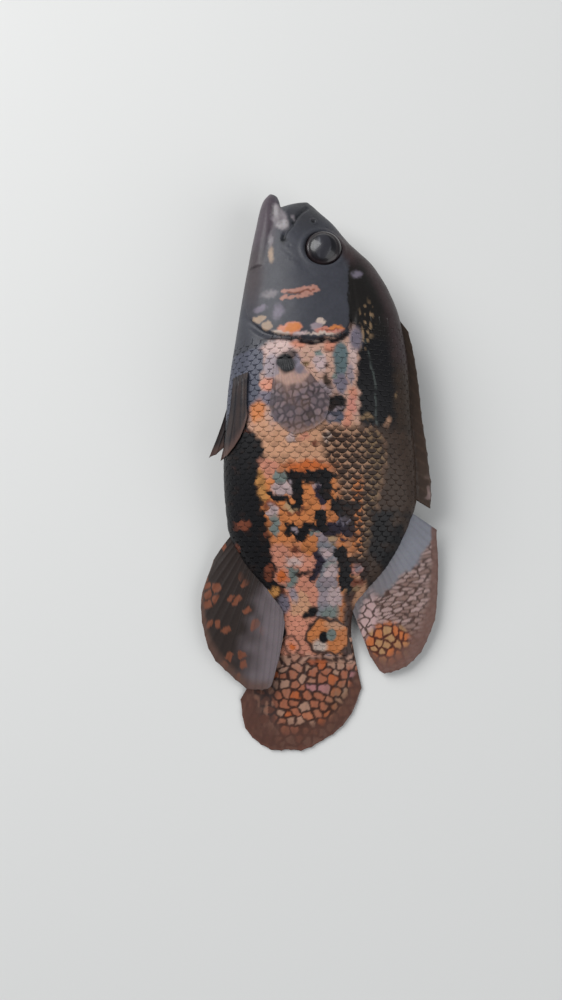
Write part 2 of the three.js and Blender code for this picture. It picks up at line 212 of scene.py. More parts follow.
def make_mesh(name, points, quads, triangles=np.empty((0, 3), int)):
    """A mesh object at the origin from arrays of points and faces. Quads are smooth, triangles flat."""
    loops = np.concatenate([quads.ravel(), triangles.ravel()])
    sizes = np.repeat([4, 3], [len(quads), len(triangles)])
    mesh = bpy.data.meshes.new(name)
    mesh.vertices.add(len(points))
    mesh.vertices.foreach_set("co", np.ascontiguousarray(points, np.float32).ravel())
    mesh.loops.add(len(loops))
    mesh.loops.foreach_set("vertex_index", loops.astype(np.int32))
    mesh.polygons.add(len(sizes))
    mesh.polygons.foreach_set("loop_start", (np.cumsum(sizes) - sizes).astype(np.int32))
    mesh.polygons.foreach_set("use_smooth", sizes == 4)
    mesh.update(calc_edges=True)
    mesh.validate()
    return new_object(name, mesh)


def paint(piece, colours):
    """Stores one colour a point, linear, as the attribute that the materials read."""
    layer = piece.data.color_attributes.new("pigment", "FLOAT_COLOR", "POINT")
    rgba = np.ones((len(colours), 4), np.float32)
    rgba[:, :3] = np.clip(colours, 0, 1)
    layer.data.foreach_set("color", rgba.ravel())


def read(items, field, width=1, kind=float):
    """One field of a mesh's points, corners or faces as an array."""
    values = np.empty(len(items) * width, kind)
    items.foreach_get(field, values)
    return values.reshape(-1, width) if width > 1 else values


def corner_points(mesh):
    """The number of the point at each corner of each face."""
    return read(mesh.loops, "vertex_index", kind=np.int32)


def store_unwrap(mesh, places):
    """Stores an unwrap, one place for each corner, under the name OFBake."""
    layer = mesh.uv_layers.new(name="OFBake")
    layer.data.foreach_set("uv", places.astype(np.float32).ravel())


def face_out(piece, merge=False):
    """Faces all faces out. Merging joins the doubled points at seams and poles first, and drops what this
    leaves flat."""
    form = bmesh.new()
    form.from_mesh(piece.data)
    if merge:
        bmesh.ops.remove_doubles(form, verts=form.verts, dist=1e-7)
        bmesh.ops.dissolve_degenerate(form, edges=form.edges, dist=1e-8)
    bmesh.ops.recalc_face_normals(form, faces=form.faces)
    form.to_mesh(piece.data)
    form.free()


def apply_modifiers(piece):
    """Puts what its modifiers make of it in the place of a piece's mesh."""
    mesh = bpy.data.meshes.new_from_object(piece.evaluated_get(bpy.context.evaluated_depsgraph_get()))
    piece.modifiers.clear()
    before, piece.data = piece.data, mesh
    bpy.data.meshes.remove(before)
    mesh.name = piece.name


CROWDING = 1.2


def closed_tube(rings, sides, rows):
    """Points and faces of a tube, stored row after row along each side, with a fan at both ends."""
    ends = [rings.reshape(sides, rows, 3)[:, k].mean(axis=0) for k in (0, -1)]
    here = np.arange(sides) * rows
    there = np.roll(here, -1)
    near = np.stack([np.full(sides, len(rings)), there, here], axis=-1)
    far = np.stack([np.full(sides, len(rings) + 1), here + rows - 1, there + rows - 1], axis=-1)
    return np.concatenate([rings, ends]), grid_faces(sides, rows, closed=True), np.concatenate([near, far])


def closed_loft(start, end, stations, sides, profiles):
    """Oval sections along the fish as one closed form. They stand closer together ahead."""
    a = start + (end - start) * (np.arange(stations) / (stations - 1)) ** CROWDING
    turn = np.linspace(0, 2 * np.pi, sides, endpoint=False)
    h, z = section(a[None, :], turn[:, None], 0, profiles)
    return closed_tube(to_frame(np.broadcast_to(a, h.shape), h, z).reshape(-1, 3), sides, stations)


# Colours of the fish, as it looks wet under an open sky

PALETTE = {name: linear(code) for name, code in {
    "cheek": "#3c3d44", "snout": "#37373b", "jaw": "#4d444b", "throat": "#463f42", "lip": "#756f73",
    # The first colour on the next line is a painted highlight on the lips.
    "lip_light": "#8f8a8c", "cream": "#98826f", "nape": "#181513", "back_edge": "#37292a",
    # The first colour on the next line is painted shade, for the mouth's furrow and corner.
    "groove": "#1c1d21", "black": "#0f0e11", "ink": "#05060c", "purple_black": "#241d2b",
    "brown_back": "#35281f", "olive": "#3f3027", "olive_cell": "#7a6247", "brown_cell": "#a07a61",
    "net": "#2a1a14", "beige": "#b48f7f", "peach": "#bc8c6e", "orange": "#bf7544", "deep_orange": "#b9602f",
    "ochre": "#b57f48", "salmon": "#bf7f69", "tan": "#a88a69", "lilac": "#8d7f85", "lilac_pale": "#b09a9a",
    # The second colour on the next line, a teal, is a painted reflection of the sky.
    "lilac_grey": "#6b6470", "teal": "#566568", "sage": "#6c7571", "pink": "#bda29c", "red": "#b97a6c",
    # The third colour on the next line is painted shadow, behind the gill cover's free edge and inside the
    # mouth.
    "cream_white": "#baa79c", "rust": "#6d3a28", "gap": "#12080a", "dark_brown": "#402c26",
    "grey_blue": "#4a4c59", "grey_pale": "#77767c", "bar": "#a37568",
}.items()}

# Blotches on the left side: place a and h, half sizes along and across, turn in degrees, colour, softness.
# They are laid over one another in this order: head, front, flank, tail.
BLOTCHES = [
    (3.5, -2.0, 4.6, 4.2, 0, "snout", 2.5), (3.5, -10.5, 7.5, 2.9, 0, "jaw", 1.2),
    (16, -13, 8, 2.4, 0, "throat", 1.5), (9, -12, 3.0, 1.4, 0, "jaw", 0.8),
    # The pale ovals at a 4.0 and a 7.4 are a painted highlight on the lips.
    (5.4, -7.4, 3.0, 1.5, 20, "lip", 0.5), (4.0, -8.1, 1.5, 0.7, 10, "lip_light", 0.5),
    # The near-black oval at a 10.7 on the next line is painted shade in the mouth's corner.
    (7.4, -6.7, 0.9, 1.0, 0, "lip_light", 0.4), (10.7, -6.6, 0.9, 0.7, 0, "groove", 0.5),
    (5.7, -4.4, 0.7, 0.25, 40, "lip", 0.25), (13.9, -9.1, 1.7, 0.55, 0, "cream", 0.35),
    (10.9, -9.3, 1.2, 0.4, 0, "lip", 0.4), (22.8, -9.2, 0.8, 1.5, 0, "lip", 0.5),
    (26.9, -7.6, 1.6, 1.0, 0, "lilac_grey", 0.6), (25.6, -11.2, 0.8, 1.3, 0, "lilac_grey", 0.3),
    (18.3, 8.7, 0.9, 1.0, 20, "lilac_grey", 0.5), (13, 7.0, 3, 1.6, 20, "back_edge", 1.2),
    (34.6, -7.5, 2.0, 3.3, 0, "pink", 0.6), (33.7, -3.4, 1.0, 1.7, 0, "salmon", 0.4),
    (34.2, 3.4, 1.0, 1.5, 0, "rust", 0.4), (33.9, 3.0, 0.6, 1.3, 0, "salmon", 0.3),
    (38.2, -8.8, 3.0, 1.7, 0, "lilac", 0.5), (38.0, -3.6, 2.4, 1.2, 10, "lilac_grey", 0.5),
    (37.2, -11.4, 3.4, 0.9, 0, "grey_blue", 0.4), (36.4, -1.4, 2.6, 1.6, 0, "beige", 0.5),
    (38.0, -1.9, 0.5, 0.7, 0, "olive_cell", 0.25), (37.4, 0.9, 2.2, 1.3, 0, "lilac_pale", 0.4),
    (35.6, 0.7, 0.8, 0.9, 0, "sage", 0.3), (38.3, 2.2, 0.4, 0.6, 0, "dark_brown", 0.2),
    # The large teal oval from a 33 to 41 is a painted sky reflection on the wet flank behind the gill cover.
    (37.0, 5.1, 4.0, 1.5, 0, "teal", 0.35), (41.8, 5.0, 2.2, 1.3, 0, "lilac_grey", 0.4),
    (40.4, 4.0, 0.6, 0.6, 0, "sage", 0.3), (35.2, 7.6, 4.2, 0.9, 0, "pink", 0.3),
    (39.6, 7.0, 2.0, 0.7, 0, "lilac", 0.3), (41.8, -9.4, 1.5, 1.7, 0, "salmon", 0.35),
    (41.2, -5.2, 1.5, 3.0, 0, "beige", 0.5), (43.0, 0.8, 1.4, 2.6, 0, "lilac", 0.5),
    (41.2, 2.3, 1.4, 0.7, 30, "olive", 0.3), (44.6, -9.4, 1.6, 2.8, 0, "lilac_grey", 0.4),
    # The small lilac oval at a 45.1, h -7.2 is a painted sheen.
    (45.1, -7.2, 0.8, 1.1, 0, "lilac", 0.4), (45.0, -0.4, 2.6, 3.4, 0, "lilac", 0.5),
    (45.8, -2.0, 1.6, 1.0, 0, "brown_cell", 0.4), (43.5, -0.6, 0.4, 1.1, 0, "dark_brown", 0.25),
    (45.2, -1.8, 0.3, 0.5, 0, "dark_brown", 0.2), (47.2, 1.2, 0.4, 0.6, 0, "dark_brown", 0.2),
    (46.0, 4.4, 2.0, 1.8, 20, "black", 0.3), (48.4, 3.6, 1.1, 2.4, 0, "grey_blue", 0.3),
    (46.9, 4.6, 0.25, 1.2, 15, "lilac", 0.2), (48.7, 2.8, 0.3, 1.6, 10, "lilac", 0.2),
    (48.3, -1.4, 1.4, 2.0, 0, "olive", 0.3), (48.0, -1.0, 0.6, 0.8, 0, "olive_cell", 0.3),
    (49.1, -0.1, 0.5, 0.7, 0, "pink", 0.25), (47.6, -6.2, 1.9, 2.6, 0, "lilac", 0.5),
    (48.6, -7.4, 0.9, 1.2, 0, "lilac_grey", 0.4), (49.5, -5.4, 1.6, 0.16, 0, "dark_brown", 0.15),
    (43.6, 7.5, 1.6, 0.8, 0, "salmon", 0.25), (46.2, 7.3, 2.0, 0.9, 0, "red", 0.3),
    (49.0, 6.5, 1.8, 0.9, -10, "salmon", 0.4), (48.3, 10.0, 0.5, 1.4, 10, "olive_cell", 0.3),
    (49.0, 14.8, 0.9, 0.35, -30, "brown_cell", 0.3), (43.2, 16.8, 0.5, 0.35, 0, "olive_cell", 0.3),
    (47.5, -11.7, 2.6, 1.5, 0, "orange", 0.5), (51.0, -11.0, 2.6, 1.4, 0, "peach", 0.5),
    (56.3, -12.4, 4.2, 1.9, 0, "black", 0.4), (57.4, -10.4, 1.4, 0.6, 0, "olive", 0.5),
    (52.4, -4.9, 1.2, 1.2, 0, "pink", 0.4), (52.4, 2.2, 1.0, 0.8, 0, "cream_white", 0.4),
    (52.2, -2.3, 0.7, 1.0, 0, "salmon", 0.4), (53.8, -4.4, 0.16, 1.9, 4, "dark_brown", 0.15),
    (53.4, -0.4, 0.35, 0.8, 0, "rust", 0.2), (56.7, 1.0, 0.16, 1.7, 12, "rust", 0.15),
    (58.2, -1.6, 1.1, 5.4, 0, "deep_orange", 0.6), (58.4, -9.6, 1.8, 2.0, 0, "salmon", 0.6),
    (61.6, -11.3, 2.8, 0.9, 0, "ochre", 0.4), (63.8, -10.7, 1.4, 0.8, 30, "ochre", 0.4),
    (60.8, -7.2, 1.7, 1.5, 0, "sage", 0.35), (62.8, -6.6, 1.4, 2.4, 0, "lilac_pale", 0.35),
    (61.4, -4.9, 0.6, 0.7, 0, "lilac", 0.25), (60.6, -0.6, 1.0, 2.6, 0, "brown_cell", 0.3),
    (61.9, 0.4, 0.6, 1.2, 0, "lilac", 0.3), (65.9, -9.4, 0.6, 1.3, 20, "rust", 0.3),
    (66.3, -4.7, 0.8, 1.7, 0, "tan", 0.3), (64.8, 1.4, 0.8, 0.5, 0, "lilac_grey", 0.3),
    (67.2, -8.7, 1.3, 1.0, 0, "lilac_pale", 0.35), (70.2, -8.3, 2.2, 0.9, 0, "sage", 0.35),
    (66.4, 1.6, 0.7, 0.5, 0, "salmon", 0.3), (69.9, -0.6, 0.5, 0.9, 0, "olive", 0.3),
    (71.3, -0.7, 0.7, 1.5, 0, "sage", 0.3), (72.5, 1.5, 1.0, 1.5, 0, "lilac", 0.3),
    (72.8, 3.6, 0.7, 1.1, 0, "tan", 0.3), (74.1, 4.1, 0.4, 0.7, 0, "olive_cell", 0.3),
    (74.0, -1.0, 1.9, 1.7, 0, "orange", 0.3), (75.6, -7.2, 1.8, 1.7, 0, "salmon", 0.5),
    (77.2, -4.4, 1.0, 1.8, 0, "pink", 0.4), (75.0, -4.4, 0.6, 0.6, 0, "rust", 0.25),
    (75.6, 2.5, 1.0, 1.3, 0, "lilac_pale", 0.3), (79.2, 3.4, 1.9, 1.6, 0, "lilac_pale", 0.35),
    (78.0, 3.2, 0.4, 1.5, 0, "sage", 0.3), (81.4, 2.9, 1.3, 1.7, 0, "lilac", 0.35),
    (84.6, 1.8, 1.9, 1.2, 0, "lilac", 0.4), (84.8, 4.3, 2.2, 1.7, 0, "lilac_pale", 0.4),
    (88.0, 3.4, 1.2, 1.9, 0, "sage", 0.5), (78.2, 7.3, 1.2, 0.7, 0, "rust", 0.3),
    (78.6, 9.2, 1.4, 1.4, 0, "red", 0.3), (78.6, 9.2, 0.8, 0.8, 0, "lilac", 0.6),
    (81.5, 9.0, 0.9, 1.6, 10, "rust", 0.4), (83.2, 8.0, 0.8, 1.8, 10, "olive_cell", 0.4),
    (79.0, 12.6, 3.0, 1.6, 30, "olive", 0.7), (84.5, 7.3, 1.0, 1.2, 0, "dark_brown", 0.4),
    (81.4, -1.6, 1.9, 2.1, 0, "salmon", 0.35), (84.2, -1.0, 2.2, 1.9, 0, "salmon", 0.4),
    (87.0, -2.8, 3.4, 2.2, 8, "peach", 0.4), (90.6, -3.0, 2.2, 1.9, 0, "salmon", 0.4),
    (80.4, -5.6, 2.2, 2.3, 0, "sage", 0.4), (79.6, -2.4, 0.5, 1.7, 10, "black", 0.3),
    (84.0, -4.4, 1.6, 0.9, 20, "lilac", 0.4), (86.2, -6.2, 1.6, 1.0, 20, "lilac_grey", 0.5),
    (80.4, -6.9, 1.9, 1.8, 0, "salmon", 0.3), (80.6, -6.9, 1.3, 1.15, 0, "deep_orange", 0.25),
    (83.8, -8.8, 1.6, 1.9, 0, "ink", 0.3), (83.8, -8.8, 1.1, 1.5, 0, "ochre", 0.3),
    (87.6, -0.3, 1.4, 1.1, 0, "black", 0.3), (88.5, -1.6, 0.8, 0.8, 0, "black", 0.3),
    (90.0, 7.4, 7.0, 1.1, 0, "dark_brown", 0.6), (95.2, -4.8, 2.3, 1.7, 0, "dark_brown", 0.3),
    (95.2, -4.8, 1.8, 1.3, 0, "salmon", 0.3), (95.3, -4.9, 0.9, 0.7, 0, "deep_orange", 0.3),
    (97.4, 3.0, 0.7, 2.4, 0, "lilac", 0.3), (97.6, 6.0, 0.3, 1.6, 0, "dark_brown", 0.2),
]

# Blotches that end at the gill cover's free edge
COVER_BLOTCHES = [
    (29.8, -9.6, 1.0, 1.2, 0, "cream", 0.15), (28.0, -11.4, 0.9, 1.3, 0, "cream", 0.15),
    (30.6, -5.2, 1.25, 2.5, 8, "salmon", 0.15), (30.4, -4.6, 0.8, 1.6, 8, "orange", 0.15),
    (31.3, -7.0, 0.5, 1.8, -10, "cream_white", 0.15), (31.7, -3.2, 0.4, 1.6, 10, "lilac_pale", 0.15),
    (29.3, 0.9, 0.9, 0.8, 0, "cream_white", 0.15), (30.4, 0.2, 0.8, 1.1, 0, "lilac", 0.15),
    (30.9, 3.2, 0.75, 3.1, 4, "red", 0.12), (30.4, 4.3, 0.4, 1.5, 0, "orange", 0.12),
    (30.9, 2.8, 0.13, 1.9, 4, "rust", 0.1), (31.6, 1.6, 0.28, 3.6, 2, "cream_white", 0.12),
]

# Strokes: a line of [a, h] points, half width, colour
MOUTH_LINE = [(3.0, -1.6), (5.0, -3.3), (7.6, -4.7), (9.4, -6.1), (10.6, -6.5)]
STROKES = [
    # The first stroke is painted shade along the mouth's furrow.
    (MOUTH_LINE, 0.2, "groove"),
    ([(22.6, -6.5), (22.2, -3.2), (21.7, 0.3)], 0.42, "bar"),
    ([(24.0, -6.9), (23.8, -4.2), (23.0, -1.2), (22.2, 0.7)], 0.45, "bar"),
    ([(23.0, -5.4), (22.7, -2.4), (22.4, -0.4)], 0.14, "rust"),
    ([(60.2, -4.6), (60.4, -1.5), (60.3, 2.8)], 0.95, "black"),
    ([(60.0, -3.9), (62.0, -3.7), (64.0, -3.7), (65.6, -3.5)], 0.85, "black"),
    ([(61.3, -3.0), (61.5, -1.0), (61.5, 1.6)], 0.16, "black"),
    ([(60.0, 2.3), (61.6, 2.3), (64.4, 1.8)], 0.8, "black"),
    ([(63.1, 2.2), (63.2, 4.4)], 0.3, "net"),
    ([(62.6, 0.3), (64.2, 0.3), (64.7, 1.2)], 0.5, "purple_black"),
    ([(63.7, -9.3), (64.5, -7.8), (65.0, -6.0), (66.2, -4.2)], 0.42, "black"),
    ([(66.1, -8.0), (67.3, -5.6), (67.6, -3.6), (66.6, -2.2)], 0.2, "rust"),
    ([(65.9, 4.2), (66.4, 6.0), (66.2, 7.8)], 0.95, "black"),
    ([(66.6, 5.4), (68.2, 6.6), (69.8, 6.8)], 1.2, "black"),
    ([(69.0, 5.4), (69.1, 6.4)], 0.55, "lilac_grey"),
    ([(70.3, 0.8), (70.9, 3.4), (71.2, 7.2)], 1.0, "purple_black"),
    ([(67.9, 0.9), (69.8, 1.2)], 0.95, "black"),
    ([(69.6, -2.2), (70.0, 0.6)], 0.45, "black"),
    ([(70.8, -4.8), (71.5, -3.4), (71.4, -2.4)], 1.15, "black"),
    ([(71.1, -4.3), (71.2, -3.9)], 0.35, "lilac"),
    ([(72.8, 5.6), (73.0, 6.4)], 0.4, "purple_black"),
    ([(75.2, -4.6), (75.3, -2.4)], 0.2, "rust"),
    ([(75.4, 0.2), (77.4, 1.2), (79.4, 0.2), (81, -0.4)], 0.5, "purple_black"),
    ([(76.2, 5.6), (78.6, 6.4), (82.0, 6.6)], 1.15, "black"),
    ([(76.9, 7.4), (77.8, 6.6)], 0.4, "black"),
    ([(76.8, 8.2), (77.2, 10.2), (78.8, 11.0), (80.6, 10.0)], 0.45, "net"),
    ([(98.9, 1.6), (99.4, 4.2), (99.2, 7.0)], 0.3, "dark_brown"),
]
# A line of painted shadow along the furrow behind the gill cover's free edge.
COVER_SHADOW_STROKE = [(31.9, -11.0), (32.0, -8.0), (32.2, -5.6), (33.0, -3.0), (33.5, -0.8), (32.9, 1.4), (33.0, 3.6),
              (32.2, 5.6), (30.4, 6.9), (28.8, 7.1)]

# The upper lateral line
LATERAL_LINE = [(31.0, 9.4), (33.0, 10.2), (35.5, 10.9), (38.5, 11.6), (41.5, 12.1), (45.0, 12.3),
                (49.5, 12.3)]


def line_distance(a, h, line):
    """The distance from each point to a line of a few straight stretches."""
    best = np.full(np.shape(a), np.inf)
    for (a0, h0), (a1, h1) in zip(line[:-1], line[1:]):
        da, dh = a1 - a0, h1 - h0
        t = np.clip(((a - a0) * da + (h - h0) * dh) / (da * da + dh * dh), 0, 1)
        best = np.minimum(best, np.hypot(a - a0 - t * da, h - h0 - t * dh))
    return best


def colour_of(colour):
    """A colour by its name or its hex code."""
    return linear(colour) if colour.startswith("#") else PALETTE[colour]


def lay(colours, share, colour):
    """Lays a colour over the others by its share, 0 to 1, at each point."""
    return mix(colours, colour_of(colour), share[:, None])


def layered(base, *layers):
    """A base colour with others laid over it in turn, each given by its share and its colour."""
    colours = colour_of(base)
    for share, colour in layers:
        colours = lay(colours, share, colour)
    return colours


def turned(a, h, degrees):
    """Places along and across an axis that is turned by some degrees."""
    cosine, sine = np.cos(np.radians(degrees)), np.sin(np.radians(degrees))
    return a * cosine + h * sine, h * cosine - a * sine


def oval(a, h, place_a, place_h, half_a, half_h, turn, soft):
    """1 inside a turned oval, 0 outside, with a soft rim of the given width in mm."""
    along, across = turned(a - place_a, h - place_h, turn)
    radius = np.hypot(along / half_a, across / half_h)
    return 1 - ease(-soft, soft, (radius - 1) * min(half_a, half_h))


# Upper edges of the dark belly and of the cheek, and the two edges of the brown cells
BELLY_FIELD = curve([[30, -12], [50, -13.5], [54, -10.8], [66, -11.0], [69, -9.6], [76, -8.8], [79, -7.6],
                     [84, -6.0], [92, -5.6], [99, -9]])
CHEEK_TOP = curve([[0, 8], [9, 8], [13, 7.6], [16, 6.9], [30, 6.7], [34, 6.7]])
NET_LOW = curve([[48, 0.5], [54, 1.0], [58, 3.5], [62, 5.2], [70, 6.6], [80, 9]])
NET_HIGH = curve([[48, 10], [52, 14.0], [60, 14.4], [66, 12.8], [72, 11.6], [80, 11]])


def ground(a, h):
    """The large fields of colour, before any mark: head, nape, back, front, flank and belly."""
    wander = 1.2 * noise(a, h, 6, 1) + 0.5 * noise(a, h, 2.2, 2)
    brown = net_zone(a, h)
    over_brown = ease(-1.0, 0.6, h - NET_HIGH(a) + 0.8 * noise(a, h, 2.6, 54))
    black = ease(8.2, 8.9, h + 0.5 * noise(a, h, 1.1, 3)) * (1 - ease(49, 52, a + wander))
    belly = 1 - ease(-0.6, 0.6, h - BELLY_FIELD(a) + 0.5 * noise(a, h, 1.6, 4))
    rust = ease(0.42, 0.62, noise(a, h, 2.3, 9)) * belly
    head = 1 - ease(32.2, 32.8, a + 0.12 * (h < 6.8) * h)
    cheek = head * (1 - ease(-0.15, 0.25, h - CHEEK_TOP(a)))
    nape = 1 - ease(29.5, 32.5, a + wander)
    crown = 1 - ease(2.0, 5.0, BACK(a) - h)
    return layered(
        "beige",
        (ease(48, 52, a + wander), "peach"),
        (ease(57, 61, a + wander) * (1 - ease(6, 9, h + wander)), "orange"),
        # Brown cells on the upper flank, greener towards the back, with an orange strip between
        (brown, "brown_cell"),
        (brown * ease(8.5, 12.5, h + wander), "olive_cell"),
        (between(h, 7.2, 8.0, 9.2, 10.2) * between(a, 59, 62, 74, 77), "orange"),
        # A grey band leads along the middle to the tail, with salmon below it
        (ease(73, 77, a + wander) * (1 - ease(0.2, 1.0, h)), "salmon"),
        (ease(71, 74, a + wander) * (1 - ease(88.4, 89.4, a)) * between(h, 0.1, 0.9, 4.2, 5.2), "grey_pale"),
        # Olive and black over the brown cells
        (over_brown * ease(47, 50, a) * ease(9, 10, h), "olive"),
        (ease(10.4, 12.5, h + 0.6 * wander) * ease(65.5, 68, a + wander), "black"),
        (ease(0.2, 1.0, noise(a, h, 2.6, 5)) * ease(66, 69, a) * ease(13, 15, h), "olive"),
        # The black upper flank behind the head, and the brown back over it
        (black, "black"),
        (black * ease(15.2, 17.5, h + 0.4 * wander), "brown_back"),
        # Peduncle, belly and breast
        (ease(85, 90, a) * ease(5, 7, h), "dark_brown"),
        (belly * ease(31, 33, a), "black"),
        (rust * ease(44, 50, a) * ease(-17.5, -15.5, h), "rust"),
        ((1 - ease(-12.5, -11.5, h + wander)) * (1 - ease(46, 50, a)), "grey_blue"),
        # Head: near-black nape, grey cheek, and the back's edge browner
        (np.maximum(nape, cheek), "nape"),
        (cheek, "cheek"),
        (crown * between(a, 6, 12, 34, 40) * ease(0, 2, h), "back_edge"))


SCALE_PITCH = 2.1


def snapped(a, h, share):
    """Points drawn towards the middle of the scale they lie on, so that marks end along the scales."""
    column = np.floor(a / SCALE_PITCH * 2)
    shift = (column % 2) * 0.5
    middle_a = (column + 0.5) * SCALE_PITCH / 2
    middle_h = (np.floor(h / SCALE_PITCH - shift) + 0.5 + shift) * SCALE_PITCH
    return a + share * (middle_a - a), h + share * (middle_h - h)


def fin_spot(a, h):
    """The black spot at the root of the pectoral fin, with an uneven, soft rim."""
    uneven_a, uneven_h = a + 0.35 * noise(a, h, 1.3, 90), h + 0.35 * noise(a, h, 1.3, 91)
    return oval(uneven_a, uneven_h, 37.7, -6.0, 2.25, 1.95, 14, 0.45)


def pigment(a, h, left=True):
    """The colour of the skin at each place on a side, from the fields, blotches and strokes above."""
    if not left:
        # The side that isn't seen has the same kinds of marks, moved and bent
        a, h = a + 1.6 * noise(a, h, 11, 21), h + 1.4 * noise(a, h, 9, 22)
    on_body = ease(33, 35, a)
    seen_a, seen_h = snapped(a, h, 0.16 * on_body * (1 - ease(76, 82, a)))
    seen_a = seen_a + on_body * (0.28 * noise(a, h, 0.9, 11) + 0.25 * noise(a, h, 2.0, 12))
    seen_h = seen_h + on_body * (0.28 * noise(a, h, 0.9, 13) + 0.25 * noise(a, h, 2.0, 14))
    on_head = 1 - on_body
    seen_a = seen_a + on_head * (0.22 * noise(a, h, 0.45, 63) + 0.25 * noise(a, h, 1.1, 64))
    seen_h = seen_h + on_head * (0.22 * noise(a, h, 0.45, 65) + 0.25 * noise(a, h, 1.1, 66))
    spiked = on_body * between(a, 40, 50, 86, 90)
    seen_a = seen_a + 0.5 * spiked * noise(0.25 * a, h, 0.55, 61)
    colours = ground(seen_a, seen_h)
    for *place, name, soft in BLOTCHES:
        colours = lay(colours, oval(seen_a, seen_h, *place, soft), name)
    # Pale cells of the shoulder
    flecks = ease(0.1, 0.4, noise(0.6 * a, h, 0.55, 15))
    shoulder = oval(a, h, 29.5, 10.2, 4.8, 1.7, -8, 0.8) * flecks
    colours = lay(colours, 0.6 * shoulder, "tan")
    colours = lay(colours, oval(a, h, 32.3, 8.2, 2.4, 1.3, 0, 0.5), "lilac_grey")
    for line, half_width, name in STROKES:
        away = line_distance(seen_a, seen_h, line)
        jag = half_width * (0.35 * noise(a, h, 0.55, 16) + 0.35 * noise(a, h, 1.2, 17) - 0.3 * on_body)
        colours = lay(colours, 1 - ease(-0.16, 0.16, away - half_width + jag), name)
    # Painted shadow along the furrow behind the gill cover's free edge.
    gap = 1 - ease(0.35, 0.75, line_distance(a, h, COVER_SHADOW_STROKE))
    colours = lay(colours, gap * ease(31.9, 32.5, a + 0.25 * np.maximum(h - 2, 0)), "gap")
    on_cover = 1 - ease(-0.1, 0.1, cover_distance(a, h))
    for *place, name, soft in COVER_BLOTCHES:
        colours = lay(colours, oval(seen_a, seen_h, *place, soft) * on_cover, name)
    spot = fin_spot(a, h)
    lobe = oval(a, h, 35.7, -4.9, 0.9, 1.1, 0, 0.4)
    colours = lay(colours, np.maximum(spot, 0.8 * lobe), "ink")
    tube = 1 - ease(0.10, 0.32, line_distance(a, h + 0.25 * noise(a, h, 1.5, 19), LATERAL_LINE))
    colours = lay(colours, 0.34 * tube * ease(-0.3, 0.3, noise(a, h, 1.1, 20)), "sage")
    colours = ocellus(colours, a, h)
    on_tail = ease(96.4, 97.4, a + 0.6 * noise(a, h, 1.3, 74))
    if on_tail.any():
        colours = mix(colours, tail_cells(a, h), on_tail[:, None])
    grain = 1 + 0.08 * noise(a, h, 0.5, 23) + 0.07 * noise(a, h, 1.7, 24)
    return np.clip(colours * grain[:, None], 0, 1)


def ocellus(colours, a, h):
    """The eye spot at the tail's root: a squarish orange ring, dark outside, round a black spot with a grey
    painted sheen on its upper part.
    """
    square = ((np.abs(a - 93.1) / 3.5) ** 3 + (np.abs(h - 3.0) / 4.0) ** 3) ** (1 / 3)
    square = square + 0.15 * noise(a, h, 1.2, 53)
    colours = lay(colours, 1 - ease(1.08, 1.2, square), "dark_brown")
    ring = layered("orange", (oval(a, h, 90.4, 4.6, 1.2, 2.2, 0, 0.6), "peach"),
                   (oval(a, h, 95.2, 1.2, 1.5, 1.6, 0, 0.6), "cream_white"))
    colours = mix(colours, ring, (1 - ease(0.92, 1.03, square))[:, None])
    colours = lay(colours, oval(a, h, 93.2, 2.1, 1.3, 1.05, 0, 0.15), "ink")
    # The grey-green oval above the black spot is a painted sheen.
    return lay(colours, oval(a, h, 92.7, 3.7, 1.35, 1.05, 0, 0.15), "sage")


def net_zone(a, h):
    """1 on the brown cells of the upper flank."""
    wander = 0.8 * noise(a, h, 2.6, 54)
    zone = ease(-1.6, 1.0, h - NET_LOW(a) + wander) * (1 - ease(-1.2, 0.8, h - NET_HIGH(a) + wander))
    return zone * between(a, 49, 51.5, 77, 80)


def net_strength(a, h):
    """How dark the rims of the scales are: strongest on the brown cells of the upper flank."""
    rosettes = oval(a, h, 46, 0, 4, 4.5, 0, 1.5)
    dashes = ease(0.15, 0.5, noise(a, h, 1.3, 52)) * between(a, 50, 53, 80, 84)
    return np.maximum.reduce([0.97 * net_zone(a, h), 0.6 * rosettes, 0.35 * dashes])


# The gill cover's free edge, as in the solids

COVER_OUTLINE = np.array([[18.6, -2], [20.5, 5.6], [26, 7.2], [30.4, 6.2], [32.4, 1.5], [32.0, -4],
                          [30.4, -10.5], [25.5, -14.2], [20.5, -12.6]])


def closed_spline(points, steps):
    """A closed Catmull-Rom curve through the points."""
    t = (np.arange(steps) / steps)[None, :, None]
    p0, p1, p2, p3 = (np.roll(points, shift, axis=0)[:, None, :] for shift in (1, 0, -1, -2))
    line = 0.5 * (2 * p1 + (p2 - p0) * t + (2 * p0 - 5 * p1 + 4 * p2 - p3) * t ** 2
                  + (3 * p1 - p0 - 3 * p2 + p3) * t ** 3)
    return line.reshape(-1, 2)


COVER_CURVE = closed_spline(COVER_OUTLINE, 6)


def cover_distance(a, h):
    """The distance to the gill cover's outline, negative inside it."""
    closed = np.concatenate([COVER_CURVE, COVER_CURVE[:1]])
    distance = line_distance(a, h, closed)
    inside = np.zeros(np.shape(a), bool)
    for (a0, h0), (a1, h1) in zip(closed[:-1], closed[1:]):
        crosses = (h0 > h) != (h1 > h)
        inside ^= crosses & (a < (a1 - a0) * (h - h0) / (h1 - h0 + 1e-12) + a0)
    return np.where(inside, -distance, distance)


# Skin

def crease(a, h, line, depth, start, end):
    """A furrow along a line, in mm: its full depth up to start from the line, none from end on."""
    return -depth * (1 - ease(start, end, line_distance(a, h, line)))


LIP_STEPS = 60
LIP_SIDES = 12
LIP_SMOOTHINGS = 8


